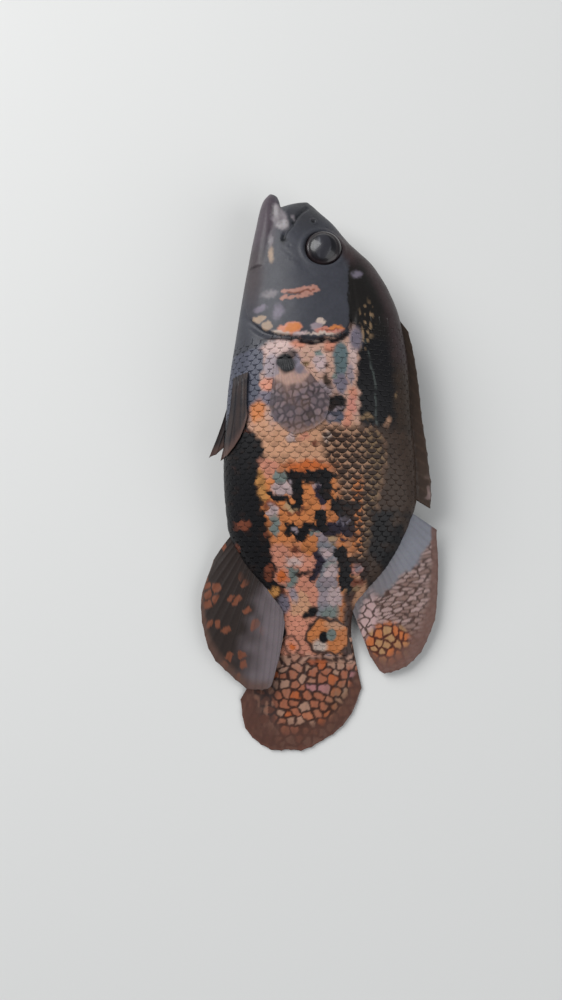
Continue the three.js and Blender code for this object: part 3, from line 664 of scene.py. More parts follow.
def lip_tube(path, radii):
    """A round band along a path of [a, h, across] points, mirrored to run round the mouth."""
    path = np.array(path, float)
    both = np.concatenate([path, path[-2::-1] * [1, 1, -1]])
    t = np.linspace(0, len(both) - 1, LIP_STEPS)
    line = np.stack([np.interp(t, np.arange(len(both)), both[:, k]) for k in range(3)], axis=-1)
    for _ in range(LIP_SMOOTHINGS):
        line[1:-1] = 0.25 * line[:-2] + 0.5 * line[1:-1] + 0.25 * line[2:]
    ahead = np.gradient(line, axis=0)
    ahead /= np.linalg.norm(ahead, axis=1, keepdims=True)
    side = np.cross(ahead, [0, 1.0, 0])
    side /= np.linalg.norm(side, axis=1, keepdims=True)
    up = np.cross(side, ahead)
    turn = np.linspace(0, 2 * np.pi, LIP_SIDES, endpoint=False)[:, None, None]
    ring = line + (np.cos(turn) * side * radii[0] + np.sin(turn) * up * radii[1])
    a, h, across = np.moveaxis(ring, -1, 0)
    return closed_tube(to_frame(a, h, mid_height(a) + across).reshape(-1, 3), LIP_SIDES, LIP_STEPS)


def joined(parts):
    """Several (points, quads, triangles) as one."""
    points, quads, triangles = zip(*parts)
    first = np.cumsum([0] + [len(part) for part in points])
    return [np.concatenate(points)] + [np.concatenate([part + start for part, start in zip(faces, first)])
                                       for faces in (quads, triangles)]


# Where the gill cover's edge starts to show and stands out whole, and depths and heights in mm
COVER_RISE = (24, 30)
COVER_OUT = 0.3
GROOVE_DEPTH = 0.55
SOCKET_DEPTH = 1.5
EYE_RIM = 0.14
NOSTRIL_A, NOSTRIL_H = 6.4, -0.2
NOSTRIL_DEPTH = 0.6
NOSTRIL_RIM = 0.16
PORE_DEPTH = 0.07
PORES = ((9.3, -4.2), (12.4, -5.2), (15.4, -5.0), (17.6, -2.6), (7.6, 2.6))
RELIEF_END = 34


def groove(a, away):
    """The furrow behind the gill cover's free edge: deep at the edge, gone 1.7 mm away."""
    return -GROOVE_DEPTH * ease(*COVER_RISE, a) * between(away, -0.05, 0.15, 0.5, 1.7)


# Furrows: line, depth, and how far from the line it is full and gone
CREASES = (
    ([(16, 7), (24, 6.9), (30, 6.8)], 0.10, 0.0, 0.5),
    ([(13, -6.5), (16.5, -3), (19.5, 0), (20.5, 4.5)], 0.03, 0.0, 0.7),
    (MOUTH_LINE, 0.3, 0.05, 0.7),
    ([(16.3, 5.6), (20, 7.6), (26, 8.4)], 0.12, 0.0, 0.8),
)


def relief(a, h):
    """How far the skin stands out from the plain form, in mm: gill cover, cheek, mouth, nostril, eye rim."""
    away = cover_distance(a, h)
    out = COVER_OUT * (1 - ease(-0.25, 0.05, away)) * ease(*COVER_RISE, a) + groove(a, away)
    for line, depth, start, end in CREASES:
        out += crease(a, h, line, depth, start, end)
    eye = np.hypot(a - EYE_A, h - EYE_H)
    out += EYE_RIM * np.exp(-((eye - 4.5) / 0.5) ** 2) - SOCKET_DEPTH * (1 - ease(3.3, 4.1, eye))
    nostril = np.hypot(a - NOSTRIL_A, h - NOSTRIL_H)
    out += NOSTRIL_RIM * np.exp(-((nostril - 0.6) / 0.2) ** 2) - NOSTRIL_DEPTH * (1 - ease(0.2, 0.5, nostril))
    for pore_a, pore_h in PORES:
        out -= PORE_DEPTH * np.exp(-(((a - pore_a) ** 2 + (h - pore_h) ** 2) / 0.05))
    return out + 0.05 * noise(a, h, 2.4, 31) * (1 - ease(30, RELIEF_END, a))


UNWRAP_START = -3
UNWRAP_LENGTH = 104
UNWRAP_ROUND = 1.02
BARE_END = 35.5
SKIN_KEPT = 0.49
UNDER_SCALES = 0.04
LIPS = (
    ([(7.0, -5.6, 5.5), (4.6, -5.9, 4.5), (2.6, -5.0, 3.1), (1.5, -3.4, 1.5), (1.4, -2.6, 0)], (0.55, 0.75)),
    ([(7.2, -7.3, 5.3), (4.6, -7.5, 4.1), (1.6, -7.9, 2.8), (-0.3, -8.3, 1.4), (-0.8, -8.6, 0)], (0.5, 0.6)),
)


def build_skin(pitch):
    """One closed skin: body, jaw and lips are joined, remeshed finely, smoothed and given their relief."""
    parts = [closed_loft(SNOUT, TAIL_FLESH_END, 260, 128, (BACK, BELLY, HALF_WIDTH)),
             closed_loft(JAW_TIP, JAW_END, 90, 72, (JAW_TOP, JAW_BOTTOM, JAW_WIDTH))]
    skin = make_mesh("skin", *joined(parts + [lip_tube(path, radii) for path, radii in LIPS]))
    remesh = skin.modifiers.new("Even faces", "REMESH")
    remesh.mode = "VOXEL"
    remesh.voxel_size = pitch * MM
    smooth = skin.modifiers.new("Fused joints", "SMOOTH")
    smooth.factor = 0.5
    smooth.iterations = 7
    apply_modifiers(skin)
    thin_out(skin)
    mesh = skin.data
    points, normals = read(mesh.vertices, "co", 3), read(mesh.vertex_normals, "vector", 3)
    a, h, z = from_frame(points)
    side_on = ease(0.25, 0.6, np.abs(normals[:, 2]))
    covered = np.maximum(between(a, 34, 37, 94, 96), ease(29.5, 32, a) * ease(8.5, 9.5, h))
    out = relief(a, h) * side_on * (a < RELIEF_END) - UNDER_SCALES * covered
    points += normals * (out * MM)[:, None]
    points[:, 2] = np.maximum(points[:, 2], 0)
    mesh.vertices.foreach_set("co", points.astype(np.float32).ravel())
    mesh.polygons.foreach_set("use_smooth", np.ones(len(mesh.polygons), bool))
    mesh.update()
    left = z > mid_height(a)
    colours = np.where(left[:, None], pigment(a, h, True), pigment(a, h, False))
    # Painted shade inside the slit between the lips.
    paint(skin, lay(colours, mouth_inside(a, h, z), "gap"))
    unwrap_skin(skin, a, h, z)
    return skin


def thin_out(skin):
    """Fewer faces where the scales lie over the skin. The bare head keeps them all."""
    a, _, _ = from_frame(read(skin.data.vertices, "co", 3))
    group = skin.vertex_groups.new(name="scaled")
    group.add(np.flatnonzero(a > BARE_END).tolist(), 1.0, "REPLACE")
    thin = skin.modifiers.new("Fewer faces", "DECIMATE")
    thin.vertex_group = group.name
    thin.ratio = SKIN_KEPT
    apply_modifiers(skin)
    skin.vertex_groups.clear()


def mouth_inside(a, h, z):
    """1 in the slit between the lips, where little light comes."""
    line = line_distance(a, h, [(0.6, -5.6), (2.8, -6.7), (6.8, -6.5)])
    thin = 1 - ease(0.72, 0.92, np.abs(z - mid_height(a)) / np.maximum(JAW_WIDTH(a), 0.5))
    return (1 - ease(0.15, 0.5, line)) * thin


def unwrap_skin(skin, a, h, z):
    """An unwrap of the skin: along the fish, and round it from the back by the left side to the belly. A face
    over the seam goes past 1 whole, and dividing by UNWRAP_ROUND brings it back inside the map."""
    middle, half = (BACK(a) + BELLY(a)) / 2, (BACK(a) - BELLY(a)) / 2
    turn = np.arctan2((z - mid_height(a)) / HALF_WIDTH(a), (h - middle) / half)
    mesh = skin.data
    corners = corner_points(mesh)
    starts = read(mesh.polygons, "loop_start", kind=np.int32)
    totals = read(mesh.polygons, "loop_total", kind=np.int32)
    v = turn[corners] / (2 * np.pi) + 0.5
    face = np.repeat(np.arange(len(starts)), totals)
    lowest = np.minimum.reduceat(v, starts)[face]
    highest = np.maximum.reduceat(v, starts)[face]
    v = np.where((highest - lowest > 0.5) & (v < 0.5), v + 1, v)
    store_unwrap(mesh, np.stack([(a[corners] - UNWRAP_START) / UNWRAP_LENGTH, v / UNWRAP_ROUND], axis=-1))


# Scales

SCALE_GRID = 9
SCALE_DEPTH = 0.12
SCALE_HALF_LENGTH = 1.5
SCALE_HALF_WIDTH = 1.16
SCALE_SET_BACK = 0.25
SCALE_ROOT_SUNK = 0.07
SCALE_UNDER_COVER = 0.45
FIRST_SCALE = 27.0
FIRST_FLANK_SCALE = 31.4
LAST_SCALE = 97.0


def scale_places():
    """Middle of each scale: columns half a pitch apart, rows a pitch apart, offset by turns."""
    turn = np.linspace(0.02, np.pi - 0.02, 400)
    places = []
    columns = np.arange(FIRST_SCALE, LAST_SCALE, SCALE_PITCH / 2)
    for number, a in enumerate(columns):
        pitch = SCALE_PITCH * mix(1.0, 0.72, ease(74, 96, a))
        h, z = section(a, turn, 0)
        arc = np.concatenate([[0], np.cumsum(np.hypot(np.diff(h), np.diff(z)))])
        arc = arc - np.interp(np.pi / 2, turn, arc)
        reach = int(arc.max() / pitch) + 1
        rows = (np.arange(-reach - 4, reach + 5) + 0.5 * (number % 2)) * pitch
        bare = mix(0.7, 1.3, ease(86, 92, a))
        rows = rows[(rows > arc[0] + bare) & (rows < arc[-1] - bare)]
        row_h = np.interp(rows, arc, h)
        found = np.stack([np.full(len(rows), a), rows, np.interp(rows, arc, turn), row_h,
                          np.full(len(rows), pitch)], axis=-1)
        places.append(found[(a > FIRST_FLANK_SCALE) | ((row_h > 8.0) & (a > FIRST_SCALE))])
    return np.concatenate(places)


def scale_faces(count, flip):
    """Faces of all scales: a grid for the top, and a fan from its rim to the one point below."""
    n, cell = SCALE_GRID, SCALE_GRID ** 2
    rim = np.concatenate([np.arange(n), np.arange(2, n + 1) * n - 1, cell - 2 - np.arange(n - 1),
                          np.arange(n - 2, 0, -1) * n])
    top, under = grid_faces(n, n), np.stack([rim, np.roll(rim, -1), np.full(len(rim), cell)], axis=-1)
    if flip:
        top, under = top[:, ::-1], under[:, ::-1]
    first = (np.arange(count) * (cell + 1))[:, None, None]
    return (top + first).reshape(-1, 4), (under + first).reshape(-1, 3)


def build_scales(side, name):
    """Overlapping plates: rooted ahead, rounded and lifted at the rear. Each is a domed top that a fan of
    triangles closes to one point below its middle."""
    rng = np.random.default_rng(3 if side > 0 else 4)
    places = scale_places()
    count = len(places)
    jitter = rng.uniform(-1, 1, (count, 4))
    p, q = np.meshgrid(*2 * [np.linspace(-1, 1, SCALE_GRID)], indexing="ij")
    p, q = p.ravel(), q.ravel()
    width = np.sqrt(1 - 0.90 * np.maximum(p, 0) ** 3.4) * (0.88 + 0.12 * (p > -0.5))
    centre_a, centre_s, centre_turn, centre_h, pitch = (places[:, [k]] for k in range(5))
    size = pitch / SCALE_PITCH * (1 + 0.06 * jitter[:, [0]])
    a = centre_a + size * (SCALE_HALF_LENGTH * p - SCALE_SET_BACK) + 0.1 * jitter[:, [1]]
    s = size * SCALE_HALF_WIDTH * q * width
    girth = np.hypot((BACK(centre_a) - BELLY(centre_a)) / 2 * np.sin(centre_turn),
                     HALF_WIDTH(centre_a) * np.cos(centre_turn))
    turn = np.clip(centre_turn + s / np.maximum(girth, 0.8), 0.01, np.pi - 0.01)
    fade = (0.5 + 0.5 * ease(30, 44, centre_a)) * (0.6 + 0.4 * (1 - ease(88, 97, centre_a)))
    bright = pigment(centre_a.ravel(), centre_h.ravel(), side > 0).mean(axis=1)[:, None]
    fade = fade * mix(0.55, 1, ease(0.01, 0.08, bright)) * mix(1, 0.5, ease(76, 82, centre_a))
    fade = fade * mix(0.4, 1.2, net_zone(centre_a, centre_h))
    lift = 0.012 + fade * (0.006 + 0.020 * p - 0.010 * q ** 2 + 0.004 * jitter[:, [2]])
    lift = lift - SCALE_ROOT_SUNK * ease(0.2, 1.0, -p)
    plain_h, _ = section(a, side * turn, 0)
    away = np.full(a.shape, 9.0)
    ahead = centre_a.ravel() < 37
    away[ahead] = cover_distance(a[ahead], plain_h[ahead])
    lift = lift + np.where(away < 0.1, -SCALE_UNDER_COVER, groove(a, away))
    top_h, top_z = section(a, side * turn, lift)
    lowest, nearest = lift.min(axis=1, keepdims=True), away.min(axis=1, keepdims=True)
    low_h, low_z = section(centre_a, side * centre_turn, -SCALE_DEPTH + lowest * (nearest < 2))
    top, low = to_frame(a, top_h, top_z), to_frame(centre_a, low_h, low_z)
    points = np.concatenate([top, low], axis=1).reshape(-1, 3)
    piece = make_mesh(name, points, *scale_faces(count, side > 0))
    # Each plate takes part of its colour from its own middle, darker round its free rim
    share = 0.24 * between(centre_a, 44, 52, 80, 88)
    seen_a = mix(a, centre_a + 0.5, share).ravel()
    seen_h = mix(top_h, centre_h, share).ravel()
    colours = pigment(seen_a, seen_h, side > 0)
    ragged = 0.30 * noise(a, top_h, 0.45, 51)
    beside = 0.8 * ease(0.7, 0.95, np.abs(q) + ragged) * ease(-0.5, 0.2, p)
    rim_share = np.maximum(ease(0.2, 0.5, p + ragged), beside)
    colours = lay(colours, net_strength(seen_a, seen_h) * rim_share.ravel(), "net")
    cell = SCALE_GRID ** 2
    tone = 1 + 0.07 * np.repeat(jitter[:, 3], cell)
    colours = (colours * tone[:, None]).reshape(count, cell, 3)
    # The point under each plate is painted at 0.6 of its middle's colour: painted shade on the plate's
    # underside.
    paint(piece, np.concatenate([colours, 0.6 * colours[:, [cell // 2]]], axis=1).reshape(-1, 3))
    patch_u = (centre_a - 26) / 74 + 0.006 * np.append(p, 0)
    patch_v = 0.5 + centre_s / 60 + 0.014 * pitch / SCALE_PITCH * np.append(q, 0)
    uv = np.stack([patch_u, patch_v], axis=-1).reshape(-1, 2)
    store_unwrap(piece.data, uv[corner_points(piece.data)])
    return piece


# Eyes

EYE_RADIUS = 3.9
EYE_DEPTH = 2.5
EYE_SUNK = 1.3
EYE_RINGS = 48
EYE_SIDES = 96


def build_eye(side, name):
    """A domed eyeball, turned from a profile: z = depth times the square root of 1 - (r / radius) squared,
    with a bulging pupil and a furrow round the iris."""
    bow = np.linspace(0, np.pi, EYE_RINGS)[None, :]
    turn = np.linspace(0, 2 * np.pi, EYE_SIDES, endpoint=False)[:, None]
    r = EYE_RADIUS * np.sin(bow)
    a, h = EYE_A + r * np.cos(turn), EYE_H + r * np.sin(turn)
    iris = np.hypot((a - EYE_A) / 2.15, (h - EYE_H) / 1.75)
    up = EYE_DEPTH * np.cos(bow) + 0 * turn
    bulge = 0.10 * (up > 0)
    up = up + bulge * np.exp(-(iris / 0.7) ** 2) - bulge * np.exp(-((r - 3.0) / 0.25) ** 2)
    height = mid_height(EYE_A) + side * (flank(EYE_A, EYE_H) - EYE_SUNK + up)
    quads = grid_faces(EYE_SIDES, EYE_RINGS, closed=True)
    piece = make_mesh(name, to_frame(a, h, height).reshape(-1, 3), quads if side > 0 else quads[:, ::-1])
    face_out(piece, merge=True)
    a, h, _ = from_frame(read(piece.data.vertices, "co", 3))
    ring = ease(2.3, 3.3, np.hypot(a - EYE_A, h - EYE_H))
    pupil = 1 - ease(0.9, 1.02, np.hypot((a - EYE_A + 0.1) / 2.7, (h - EYE_H + 0.1) / 1.8))
    streaks = ease(0.1, 0.8, noise(a * 0.5, h * 1.6, 0.9, 42))
    paint(piece, layered("#0b0a10", (ring * (0.6 + 0.4 * noise(a, h, 0.6, 41)), "#2a2022"),
                         (pupil, "#28272d"), (0.7 * pupil * streaks, "#5c5d63")))
    return piece


# Fins

def line_through(points):
    """A curve through [a, h] points, asked for by v from 0 to 1."""
    along = np.arange(len(points)) / (len(points) - 1)
    curve_a, curve_h = (curve(np.stack([along, values], axis=-1)) for values in np.array(points).T)
    return lambda v: (curve_a(v), curve_h(v))


ROOT_SUNK = 1.2
RAY_HALF_WIDTH = 0.17
RAY_JOINT_MM = 0.9
LEAST_TOP = 0.10


class Fin:
    """A thin sheet with raised rays from root(v) to tip(v), with v from 0 at the first to 1 at the last."""

    def __init__(self, name, rays, root, tip, height, colour, node, thick=0.32, ridge=0.26, swell=1.2,
                 per_ray=8, rows=110, ragged=0.015, seed=1):
        self.name, self.rays, self.root, self.tip, self.height = name, rays, root, tip, height
        self.colour, self.node, self.thick, self.ridge, self.swell = colour, node, thick, ridge, swell
        self.per_ray, self.rows, self.ragged, self.seed = per_ray, rows, ragged, seed

    def build(self):
        """Height at a point is the sheet's middle plus or minus half its thickness, which is the membrane's,
        a swelling at the root, and a rounded ridge at each ray that thins towards the tip."""
        columns = (self.rays - 1) * self.per_ray + 1
        v = np.linspace(0, 1, columns)[:, None]
        u = np.linspace(0, 1, self.rows)[None, :]
        beat = v * (self.rays - 1)
        near_ray = np.exp(-(np.abs(beat - np.round(beat)) / RAY_HALF_WIDTH) ** 2)
        rng = np.random.default_rng(self.seed)
        lengths = 1 - self.ragged * rng.uniform(0, 1, self.rays)
        reach = np.interp(beat[:, 0], np.arange(self.rays), lengths)[:, None]
        reach = reach - self.ragged * 0.5 * (1 - near_ray)
        root_a, root_h = self.root(v)
        tip_a, tip_h = self.tip(v)
        u_real = u * reach
        bow = 0.03 * np.sin(np.pi * u_real) * noise(v * 9 + 0 * u, 0 * u_real, 1.0, self.seed + 50)
        ray_a, ray_h = tip_a - root_a, tip_h - root_h
        a = root_a + ray_a * u_real - ray_h * bow
        h = root_h + ray_h * u_real + ray_a * bow
        joints = 1 + 0.12 * np.cos(2 * np.pi * u_real * np.hypot(ray_a, ray_h) / RAY_JOINT_MM)
        gap = self.per_ray * np.hypot(np.gradient(a, axis=0), np.gradient(h, axis=0))
        ridge = self.ridge * near_ray * joints * (1 - 0.75 * u_real) * np.minimum(1, (gap / 0.9) ** 2)
        swell = self.swell * np.maximum(0, 1 - 2.5 * u_real) ** 2
        edge = mix(0.35, 1, ease(0, 0.05, 1 - u))
        half = (self.thick * edge * (1 - 0.45 * u_real) + swell + ridge) / 2
        ruffle = 0.10 * u_real * noise(a, h, 3.4, self.seed + 60)
        z = self.height(a, h, u_real, v) + ruffle
        top = to_frame(a, h, np.maximum(z + half, LEAST_TOP)).reshape(-1, 3)
        under = to_frame(a, h, z - half).reshape(-1, 3)
        count, step = len(top), self.rows
        face = grid_faces(columns, step)
        start = np.arange(columns - 1) * step
        first = np.arange(step - 1)
        end, last = start + step - 1, (columns - 1) * step + first
        edges = np.concatenate([[start, start + step], [end + step, end],
                                [first + 1, first], [last, last + 1]], axis=1)
        walls = np.stack([edges[0], edges[1], edges[1] + count, edges[0] + count], axis=-1)
        faces = np.concatenate([face, face[:, ::-1] + count, walls])
        piece = make_mesh(self.name, np.concatenate([top, under]), faces)
        face_out(piece)
        v_all, u_all, grid_u = (np.broadcast_to(values, a.shape).ravel() for values in (v, u_real, u))
        colours = self.colour(a.ravel(), h.ravel(), u_all, v_all, near_ray.repeat(step, axis=1).ravel())
        paint(piece, np.concatenate([colours, colours]))
        uv = np.concatenate([np.stack([grid_u * 0.98, low_v + v_all * 0.48], axis=-1)
                             for low_v in (0, 0.51)])
        store_unwrap(piece.data, uv[corner_points(piece.data)])
        return piece


CELL_TABLE = 64


def cells(a, h, pitch_a, pitch_h, seed, degrees):
    """Cells round scattered points: the nearest point's tone from 0 to 1, and how far a place is from the rim
    of its cell."""
    along, across = turned(a, h, degrees)
    x = along / pitch_a + 0.10 * noise(a, h, 0.55, seed) + 0.14 * noise(a, h, 1.3, seed + 1)
    y = across / pitch_h + 0.10 * noise(a, h, 0.55, seed + 2) + 0.14 * noise(a, h, 1.3, seed + 3)
    best, second = np.full(np.shape(x), 9.0), np.full(np.shape(x), 9.0)
    number = np.zeros(np.shape(x), int)
    column, row = np.floor(x).astype(int), np.floor(y).astype(int)
    shift = np.random.default_rng(seed).uniform(0.12, 0.88, (CELL_TABLE, CELL_TABLE, 2))
    for i in (-1, 0, 1):
        for j in (-1, 0, 1):
            c, r = column + i, row + j
            point = shift[c % CELL_TABLE, r % CELL_TABLE]
            distance = np.hypot(c + point[..., 0] - x, r + point[..., 1] + 0.5 * (c % 2) - y - 0.25)
            closer = distance < best
            second = np.where(closer, best, np.minimum(second, distance))
            number = np.where(closer, (c % CELL_TABLE) * CELL_TABLE + r % CELL_TABLE, number)
            best = np.where(closer, distance, best)
    tone = np.random.default_rng(seed + 1).uniform(0, 1, CELL_TABLE ** 2)
    return tone[number], second - best


def tail_cells(a, h):
    """Rounded orange, tan and pink cells in a dark net, paler ahead."""
    tone, rim = cells(a, h, 1.9, 2.1, 5, -6)
    return [0.88, 0.84, 0.82] * layered(
        "#a0634a",
        (ease(0.35, 0.5, tone), "#a98572"),
        (ease(0.62, 0.7, tone) * (1 - ease(104, 108, a)), "#a87577"),
        (ease(0.5, 0.3, tone) * (1 - ease(98, 101, a)), "#b5907f"),
        (ease(0.82, 0.86, tone), "#b06038"),
        (0.75 * ease(1.0, 5.0, h) * ease(101, 106, a), "#84654f"),
        (0.94 * (1 - ease(0.12, 0.40, rim + 0.08 * noise(a, h, 1.7, 70))), "#2c1712"))


def tail_colour(a, h, u, v, ray):
    """The cells fade into a brown, nearly clear margin, with streaks along the lower rays."""
    streaks = layered("#3a2c2a", (ease(0.1, 0.6, noise(a * 0.4, h, 0.6, 71)), "#7a5a4c"))
    low = 1 - ease(-9.5, -6.5, h + 0.5 * noise(a, h, 2, 72))
    colours = mix(tail_cells(a, h), streaks, (0.85 * low)[:, None])
    corners = 0.10 * ease(0.75, 1, v) + 0.16 * ease(0.3, 0, v)
    margin = ease(0.70, 0.86, u + 0.03 * noise(a, h, 1.6, 73) + corners)
    colours = lay(colours, 0.88 * margin, "#54362d")
    colours = lay(colours, 0.6 * ease(0.95, 1.0, u), "#6b463b")
    return colours * (1 - 0.10 * ray * ease(0.15, 0.4, u))[:, None]


def dorsal_base(v):
    """Where the soft dorsal fin's rays start."""
    return mix(66.6, 86.5, v)


def anal_base(v):
    """Where the anal fin's rays start."""
    return mix(71, 87.5, v)


def spiny_base(v):
    """Where the spines of the dorsal fin start."""
    return mix(24.5, 63.5, v)


def soft_dorsal_colour(a, h, u, v, ray):
    """A smooth grey band at the base, then pale streaks and cells along the rays, orange near the rear."""
    length = np.hypot(a - dorsal_base(v), h - BACK(dorsal_base(v)))
    colours = layered("#7f8089", (ease(0.2, 0.9, v), "#726b6d"))
    colours = colours * (1 + 0.05 * noise(a, h, 2.5, 75) + 0.03 * noise(a, h, 0.5, 76))[:, None]
    tone, rim = cells(a, h, 0.8, 2.4, 15, 14)
    streaks = layered("#a48a85", (ease(0.3, 0.8, tone), "#856a62"), (1 - ease(0.10, 0.34, rim), "#4c3731"))
    beyond = ease(-0.5, 0.8, length - mix(6.6, 3.2, ease(0, 0.9, v)) + 0.6 * noise(a, h, 1.2, 77))
    _, rim = cells(a, h, 1.6, 1.9, 17, 14)
    pale = layered("#b99a98", (1 - ease(0.08, 0.26, rim), "#52403c"))
    pale_share = oval(a, h, 89.5, 11.6, 5.4, 1.9, -6, 0.8) * ease(-1, 0.5, length - 1.6)
    tone, rim = cells(a, h, 1.9, 1.75, 18, 20)
    warm = layered("#b8693c", (ease(0.5, 0.8, tone), "#a8805a"), (1 - ease(0.12, 0.34, rim), "#4c2318"))
    warm_share = oval(a, h, 94.8, 15.8, 4.6, 5.0, 20, 0.9)
    for over, share in ((streaks, beyond), (pale, pale_share), (warm, warm_share)):
        colours = mix(colours, over, share[:, None])
    colours = lay(colours, 0.9 * ease(0.74, 0.86, u + 0.03 * noise(a, h, 1.4, 78)), "#6b4c43")
    return colours * (1 - 0.10 * ray * ease(0.2, 0.5, u))[:, None]


def anal_colour(a, h, u, v, ray):
    """Smooth grey near the tail, darker ahead with rust cells, and a brown margin."""
    tone, rim = cells(a, h, 2.2, 1.7, 25, -30)
    cell = ease(0.64, 0.68, tone) * ease(0.12, 0.3, rim) * (1 - ease(0.55, 0.75, v)) * ease(0.1, 0.25, u)
    colours = layered(
        "#2c2320",
        (ease(0.5, 0.78, v + 0.05 * noise(a, h, 2.0, 81)), "#6c6266"),
        (0.8 * cell, "#7d4832"),
        (0.8 * ease(0.86, 0.96, u) * (1 - 0.7 * ease(0.75, 0.9, v)), "#5d453c"))
    return colours * (1 - 0.16 * ray + 0.05 * noise(a, h, 1.5, 82))[:, None]


def spiny_colour(a, h, u, v, ray):
    """The olive-brown of the back, with painted shade in the furrows between the folded spines."""
    pale = ease(0.5, 0.8, noise(a, h, 1.1, 83)) * ease(58, 63, a) * ease(0.5, 0.8, u)
    colours = layered("brown_back", (ease(38, 56, a), "olive"), (0.6 * ease(0.75, 1.0, u), "#4a3c33"),
                      (0.7 * pale, "#8c7672"))
    # Darker between the spines and lighter on them: painted shade in the furrows.
    return colours * (0.86 + 0.2 * ray + 0.10 * noise(a, h, 0.9, 84))[:, None]


def pectoral_colour(a, h, u, v, ray):
    """Nearly clear: mostly the flank below, then lilac-grey rosettes with dark rims towards the tip."""
    veil = (0.25 + 0.12 * ray + 0.2 * ease(0.3, 0.6, u)) * ease(0.10, 0.24, u) * (1 - fin_spot(a, h))
    colours = lay(pigment(a, h), veil, "#786a6d")
    tone, rim = cells(a, h, 1.3, 1.45, 33, 20)
    rosette = layered("#3a3036", (tone, "#7d6b6e"), (1 - ease(0.10, 0.42, rim), "#2b2427"))
    near = ease(0.34, 0.46, u + 0.05 * noise(a, h, 1.3, 35)) * (1 - 0.6 * ease(0.9, 1.0, u))
    return mix(colours, rosette, (0.78 * near)[:, None])


def lower_pectoral_colour(a, h, u, v, ray):
    """Lilac-grey, paler on the rays."""
    return layered("#5d5157", (ray, "#8b7a80"))


def pelvic_colour(a, h, u, v, ray):
    """Near-black with brown between the rays and a paler tip."""
    return layered("#1b191e", (0.6 - 0.5 * ray + 0.3 * noise(a, h, 1.4, 86), "#3b2f2c"),
                   (0.6 * ease(0.8, 1.0, u), "#6b5048"))


def fan(base, start, end, length, span):
    """Root and tip of the rays of a folded paired fin: they fan from start to end, in degrees."""
    def root(v):
        turn = np.radians(mix(start, end, v))
        return base[0] + 0.3 * np.abs(np.sin(turn)), base[1] + mix(span, -span, v)

    def tip(v):
        turn = np.radians(mix(start, end, v))
        return base[0] + length(v) * np.cos(turn), base[1] + length(v) * np.sin(turn)

    return root, tip


# How far in mm the fins' middles lie off the flank, sink into it at the root, and lie over the floor
CLEAR = 0.5
PRESSED = 0.24
PECTORAL_SUNK = 0.35
PELVIC_SUNK = 0.75
FLOOR_CLEAR = 0.36
TAIL_ROOT = 93.4
PECTORAL_LENGTH = curve([[0, 12.5], [0.3, 15.5], [0.6, 16], [0.85, 13.5], [1, 11]])
PELVIC_LENGTH = curve([[0, 19], [0.3, 17], [1, 10]])
PELVIC_ANGLES = ((-14, 8), (-22, -4))


def all_fins():
    """Each fin with the same roots, tips and heights as its solid."""
    left_root, left_tip = fan((36.2, -6), 46, -18, PECTORAL_LENGTH, 2.2)
    right_root, right_tip = fan((36.2, -6.4), 4, -24, PECTORAL_LENGTH, 1.8)
    fins = [
        Fin("tail_fin", 16, lambda v: (TAIL_ROOT + 0 * v, mix(8.1, -7.4, v)),
            line_through([[104.2, 10.3], [109.4, 8.3], [113.6, 4.6], [116.3, 0.4], [117.6, -3.8],
                          [117.6, -7.8], [116, -11.8], [112.4, -14.8], [106.8, -15.8]]),
            lambda a, h, u, v: mix(1.62, 0.42, np.minimum(1, 1.5 * u) ** 0.8) + 0 * v,
            tail_colour, "caudal_fin", swell=1.2, rows=130, seed=11),
        Fin("soft_dorsal_fin", 19, lambda v: (dorsal_base(v), BACK(dorsal_base(v)) - ROOT_SUNK),
            line_through([[70.5, 26.3], [78, 26.7], [87, 26.4], [94.5, 24.2], [99.6, 19.8], [101.2, 15.2],
                          [97.6, 12.2]]),
            lambda a, h, u, v: mix(mid_height(dorsal_base(v)), mix(4.4, 1.1, np.sqrt(v)), u),
            soft_dorsal_colour, "dorsal_fin_soft", swell=1.6, seed=12),
        Fin("anal_fin_sheet", 17, lambda v: (anal_base(v), BELLY(anal_base(v)) + ROOT_SUNK),
            line_through([[77, -21.6], [86, -24.2], [94, -23.2], [100.5, -19], [104.6, -13], [104.2, -9.6],
                          [98.5, -7.6]]),
            lambda a, h, u, v: mix(mid_height(anal_base(v)), mix(2.6, 2.9, v), u),
            anal_colour, "anal_fin", swell=1.6, seed=13),
        Fin("spiny_dorsal_fin", 14, lambda v: (spiny_base(v), BACK(spiny_base(v)) - ROOT_SUNK),
            lambda v: (mix(29, 66.2, v), BACK(mix(29, 66.2, v)) + mix(1.5, 3.5, v)),
            lambda a, h, u, v: mid_height(a), spiny_colour, "dorsal_fin_spiny",
            thick=0.9, ridge=0.35, swell=1.5, per_ray=12, rows=40, ragged=0.06, seed=14),
        Fin("left_pectoral_fin", 14, left_root, left_tip,
            lambda a, h, u, v: mid_height(a) + flank(a, h) + mix(-PECTORAL_SUNK, PRESSED, ease(0, 0.2, u)),
            pectoral_colour, "pectoral_fin_left", thick=0.22, ridge=0.08, swell=0.5, rows=90, seed=15),
        Fin("right_pectoral_fin", 14, right_root, right_tip,
            lambda a, h, u, v: np.maximum(FLOOR_CLEAR, mid_height(a) - flank(a, h) - CLEAR),
            lower_pectoral_colour, "pectoral_fin_right", thick=0.3, ridge=0.2, swell=0.4, rows=60, seed=16),
    ]
    for (side, name), angles in zip(SIDES, PELVIC_ANGLES):
        root, tip = fan((38, -15.2), *angles, PELVIC_LENGTH, -1.6)

        def height(a, h, u, v, side=side):
            return mid_height(a) + side * (flank(a, h) + mix(-PELVIC_SUNK, CLEAR, ease(0, 0.2, u)))

        fins.append(Fin(f"{name}_pelvic_fin", 6, root, tip, height, pelvic_colour, f"pelvic_fin_{name}",
                        thick=0.3, ridge=0.3, swell=0.7, rows=60, seed=17))
    return fins


# Materials

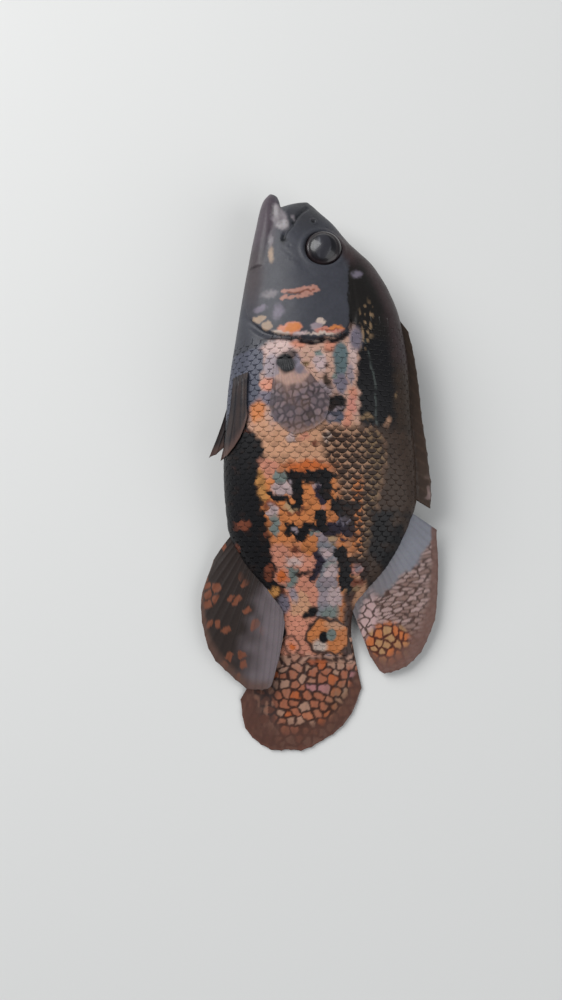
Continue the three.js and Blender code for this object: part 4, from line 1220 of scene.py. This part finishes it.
def node(tree, kind, settings=None, inputs=None):
    """Adds one node with its settings, and sets or links its inputs."""
    made = tree.nodes.new(kind)
    for name, value in (settings or {}).items():
        setattr(made, name, value)
    for name, value in (inputs or {}).items():
        if isinstance(value, bpy.types.NodeSocket):
            tree.links.new(value, made.inputs[name])
        else:
            made.inputs[name].default_value = value
    return made


def new_material(name):
    """A new material with an empty tree of nodes."""
    material = bpy.data.materials.new(name)
    material.use_nodes = True
    material.node_tree.nodes.clear()
    return material, material.node_tree


def finish(material, inputs):
    """Adds the one shader of a material with its inputs, and links it to the surface."""
    tree = material.node_tree
    shader = node(tree, "ShaderNodeBsdfPrincipled", None, inputs)
    node(tree, "ShaderNodeOutputMaterial", None, {"Surface": shader.outputs["BSDF"]})
    return material


def pigment_of(tree):
    """The colour painted on the points."""
    return node(tree, "ShaderNodeAttribute", {"attribute_name": "pigment"}).outputs["Color"]


def wet_skin(name, wetness, grain_mm, bump_mm):
    """Fish skin under a film of mucus: the pigment lies deep, the film gives a soft, broken gloss."""
    material, tree = new_material(name)
    place = node(tree, "ShaderNodeTexCoord")
    grain = node(tree, "ShaderNodeTexNoise", None, {
        "Vector": place.outputs["Object"], "Scale": 1 / (grain_mm * MM), "Detail": 3.0, "Roughness": 0.6})
    tint = node(tree, "ShaderNodeMix", {"data_type": "RGBA", "blend_type": "MULTIPLY"}, {
        "Factor": 0.22, "A": pigment_of(tree), "B": grain.outputs["Color"]})
    rough = node(tree, "ShaderNodeMapRange", None, {
        "Value": grain.outputs["Fac"], "From Min": 0.3, "From Max": 0.7, "To Min": 0.36, "To Max": 0.58})
    bump = node(tree, "ShaderNodeBump", None, {
        "Strength": 0.35, "Distance": bump_mm * MM, "Height": grain.outputs["Fac"]})
    return finish(material, {
        "Base Color": tint.outputs["Result"], "Roughness": rough.outputs["Result"],
        "Normal": bump.outputs["Normal"], "IOR": 1.33, "Specular IOR Level": 0.4, "Coat Weight": wetness,
        "Coat Roughness": 0.2, "Coat IOR": 1.33})


def eye_material():
    """A wet cornea over a dark iris: smooth and clear, so the lights show in it."""
    material, tree = new_material("wet_cornea")
    return finish(material, {"Base Color": pigment_of(tree), "Roughness": 0.35, "IOR": 1.38,
                             "Coat Weight": 0.5, "Coat Roughness": 0.12, "Coat IOR": 1.38})


def floor_material(colour):
    """A plain matt board."""
    material, _ = new_material("pale_board")
    return finish(material, {"Base Color": (*colour, 1.0), "Roughness": 0.85, "IOR": 1.45})


def dress(piece, material, nodes):
    """Gives a piece its material and the nodes that it stands for."""
    piece.data.materials.clear()
    piece.data.materials.append(material)
    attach(piece, "root")
    if nodes:
        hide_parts(*nodes)


# Camera: it looks down on the fish, a little from the tail's side
CAMERA_LENS_PX = 873.0
PHOTO_LONG_SIDE_PX = 1000
SENSOR_MM = 36.0
LOOK_A, LOOK_H, LOOK_Z = 64.43, -7.0, 8.5
CAMERA_DISTANCE_MM = 182.85
CAMERA_TILT_DEG = 5.15


def place_camera():
    """Puts the camera where the photo's was."""
    tilt = np.radians(CAMERA_TILT_DEG)
    target = to_frame(np.array(LOOK_A), np.array(LOOK_H), np.array(LOOK_Z))
    data = bpy.data.cameras.new("view")
    data.sensor_width = SENSOR_MM
    data.lens = CAMERA_LENS_PX * SENSOR_MM / PHOTO_LONG_SIDE_PX
    data.clip_start = 0.005
    camera = new_object("view", data)
    camera.location = target + np.array([0, -np.sin(tilt), np.cos(tilt)]) * CAMERA_DISTANCE_MM * MM
    camera.rotation_euler = (tilt, 0, 0)
    bpy.context.scene.camera = camera


def area_light(name, place, power, size):
    """A square soft light that faces the fish."""
    data = bpy.data.lights.new(name, "AREA")
    data.energy, data.size = power, size
    light = new_object(name, data)
    light.location = place
    light.rotation_euler = Vector(place).to_track_quat("Z", "Y").to_euler()


FLOOR_REACH = 1.5
FLOOR_BELOW = 0.0001
FILL_SHARE = 0.4


# Properties, operators and panel

class SkinSettings(bpy.types.PropertyGroup):
    """Settings of the skin, and of the film over all that is wet"""
    pitch: FloatProperty(name="Face pitch", description="Size of the skin's faces in mm", default=0.225,
                         min=0.15)
    wetness: FloatProperty(name="Wetness", description="Weight of the film over skin, scales and fins",
                           default=0.16, min=0.0, max=1.0, subtype="FACTOR")


class StageSettings(bpy.types.PropertyGroup):
    """Settings of the floor and the lights"""
    floor_colour: FloatVectorProperty(name="Floor colour", description="Colour of the board, linear", size=3,
                                      default=(0.62, 0.62, 0.61), subtype="COLOR")
    light_power: FloatProperty(name="Light", description="Power of the main light in watts", default=5.1,
                               min=0.0)


FLESH_NODES = ("head", "lower_jaw", "gill_cover_left", "gill_cover_right", "trunk", "caudal_peduncle")


class OSCAR_OT_skin(bpy.types.Operator):
    """Builds the one skin of body, head, jaw and gill covers"""
    bl_idname = "oscar.skin"
    bl_label = "Skin"

    def execute(self, context):
        settings = context.scene.oscar_skin
        skin = build_skin(settings.pitch)
        material = wet_skin("wet_fish_skin", settings.wetness, 0.35, 0.05)
        dress(skin, material, FLESH_NODES)
        return {"FINISHED"}


class OSCAR_OT_scales(bpy.types.Operator):
    """Lays the scales of both sides over the skin"""
    bl_idname = "oscar.scales"
    bl_label = "Scales"

    def execute(self, context):
        material = wet_skin("wet_scales", context.scene.oscar_skin.wetness, 0.3, 0.02)
        for side, name in SIDES:
            dress(build_scales(side, f"{name}_scales"), material, ())
        return {"FINISHED"}


class OSCAR_OT_eyes(bpy.types.Operator):
    """Builds both eyes"""
    bl_idname = "oscar.eyes"
    bl_label = "Eyes"

    def execute(self, context):
        material = eye_material()
        for side, name in SIDES:
            dress(build_eye(side, f"{name}_eyeball"), material, (f"eye_{name}",))
        return {"FINISHED"}


class OSCAR_OT_fins(bpy.types.Operator):
    """Builds all fins with their rays"""
    bl_idname = "oscar.fins"
    bl_label = "Fins"

    def execute(self, context):
        material = wet_skin("wet_fin_membrane", context.scene.oscar_skin.wetness, 0.4, 0.03)
        for fin in all_fins():
            dress(fin.build(), material, (fin.node,))
        return {"FINISHED"}


class OSCAR_OT_stage(bpy.types.Operator):
    """Sets the floor, the lights and the camera"""
    bl_idname = "oscar.stage"
    bl_label = "Stage"

    def execute(self, context):
        settings = context.scene.oscar_stage
        corners = FLOOR_REACH * np.array([[-1, -1, 0], [1, -1, 0], [1, 1, 0], [-1, 1, 0]])
        board = make_mesh("floor", corners - [0, 0, FLOOR_BELOW], np.array([[0, 1, 2, 3]]))
        board.data.materials.append(floor_material(tuple(settings.floor_colour)))
        area_light("main", (-0.40, 0.32, 0.42), settings.light_power, 0.5)
        area_light("fill", (0.45, -0.25, 0.45), settings.light_power * FILL_SHARE, 0.6)
        world = bpy.data.worlds.new("room")
        world.use_nodes = True
        room = world.node_tree.nodes["Background"].inputs
        room["Color"].default_value = (0.9, 0.95, 1.0, 1.0)
        room["Strength"].default_value = 0.3
        context.scene.world = world
        context.scene.view_settings.view_transform = "Standard"
        place_camera()
        return {"FINISHED"}


class OSCAR_PT_panel(bpy.types.Panel):
    """Shows the settings and a button for each part of the fish"""
    bl_label = "Oscar fish"
    bl_space_type = "VIEW_3D"
    bl_region_type = "UI"
    bl_category = "Oscar fish"

    def draw(self, context):
        for settings in (context.scene.oscar_skin, context.scene.oscar_stage):
            for name in settings.__annotations__:
                self.layout.prop(settings, name)
        for operator in OPERATORS:
            self.layout.operator(operator.bl_idname)


OPERATORS = (OSCAR_OT_skin, OSCAR_OT_scales, OSCAR_OT_eyes, OSCAR_OT_fins, OSCAR_OT_stage)
CLASSES = (SkinSettings, StageSettings) + OPERATORS + (OSCAR_PT_panel,)


def register():
    """Makes the settings, the operators and the panel known"""
    for cls in CLASSES:
        bpy.utils.register_class(cls)
    bpy.types.Scene.oscar_skin = PointerProperty(type=SkinSettings)
    bpy.types.Scene.oscar_stage = PointerProperty(type=StageSettings)


def unregister():
    """Takes them away again"""
    del bpy.types.Scene.oscar_stage
    del bpy.types.Scene.oscar_skin
    for cls in reversed(CLASSES):
        bpy.utils.unregister_class(cls)


def main():
    """Builds the fish and its stage"""
    register()
    bpy.ops.oscar.skin()
    bpy.ops.oscar.scales()
    bpy.ops.oscar.eyes()
    bpy.ops.oscar.fins()
    bpy.ops.oscar.stage()


if __name__ == "__main__":
    main()
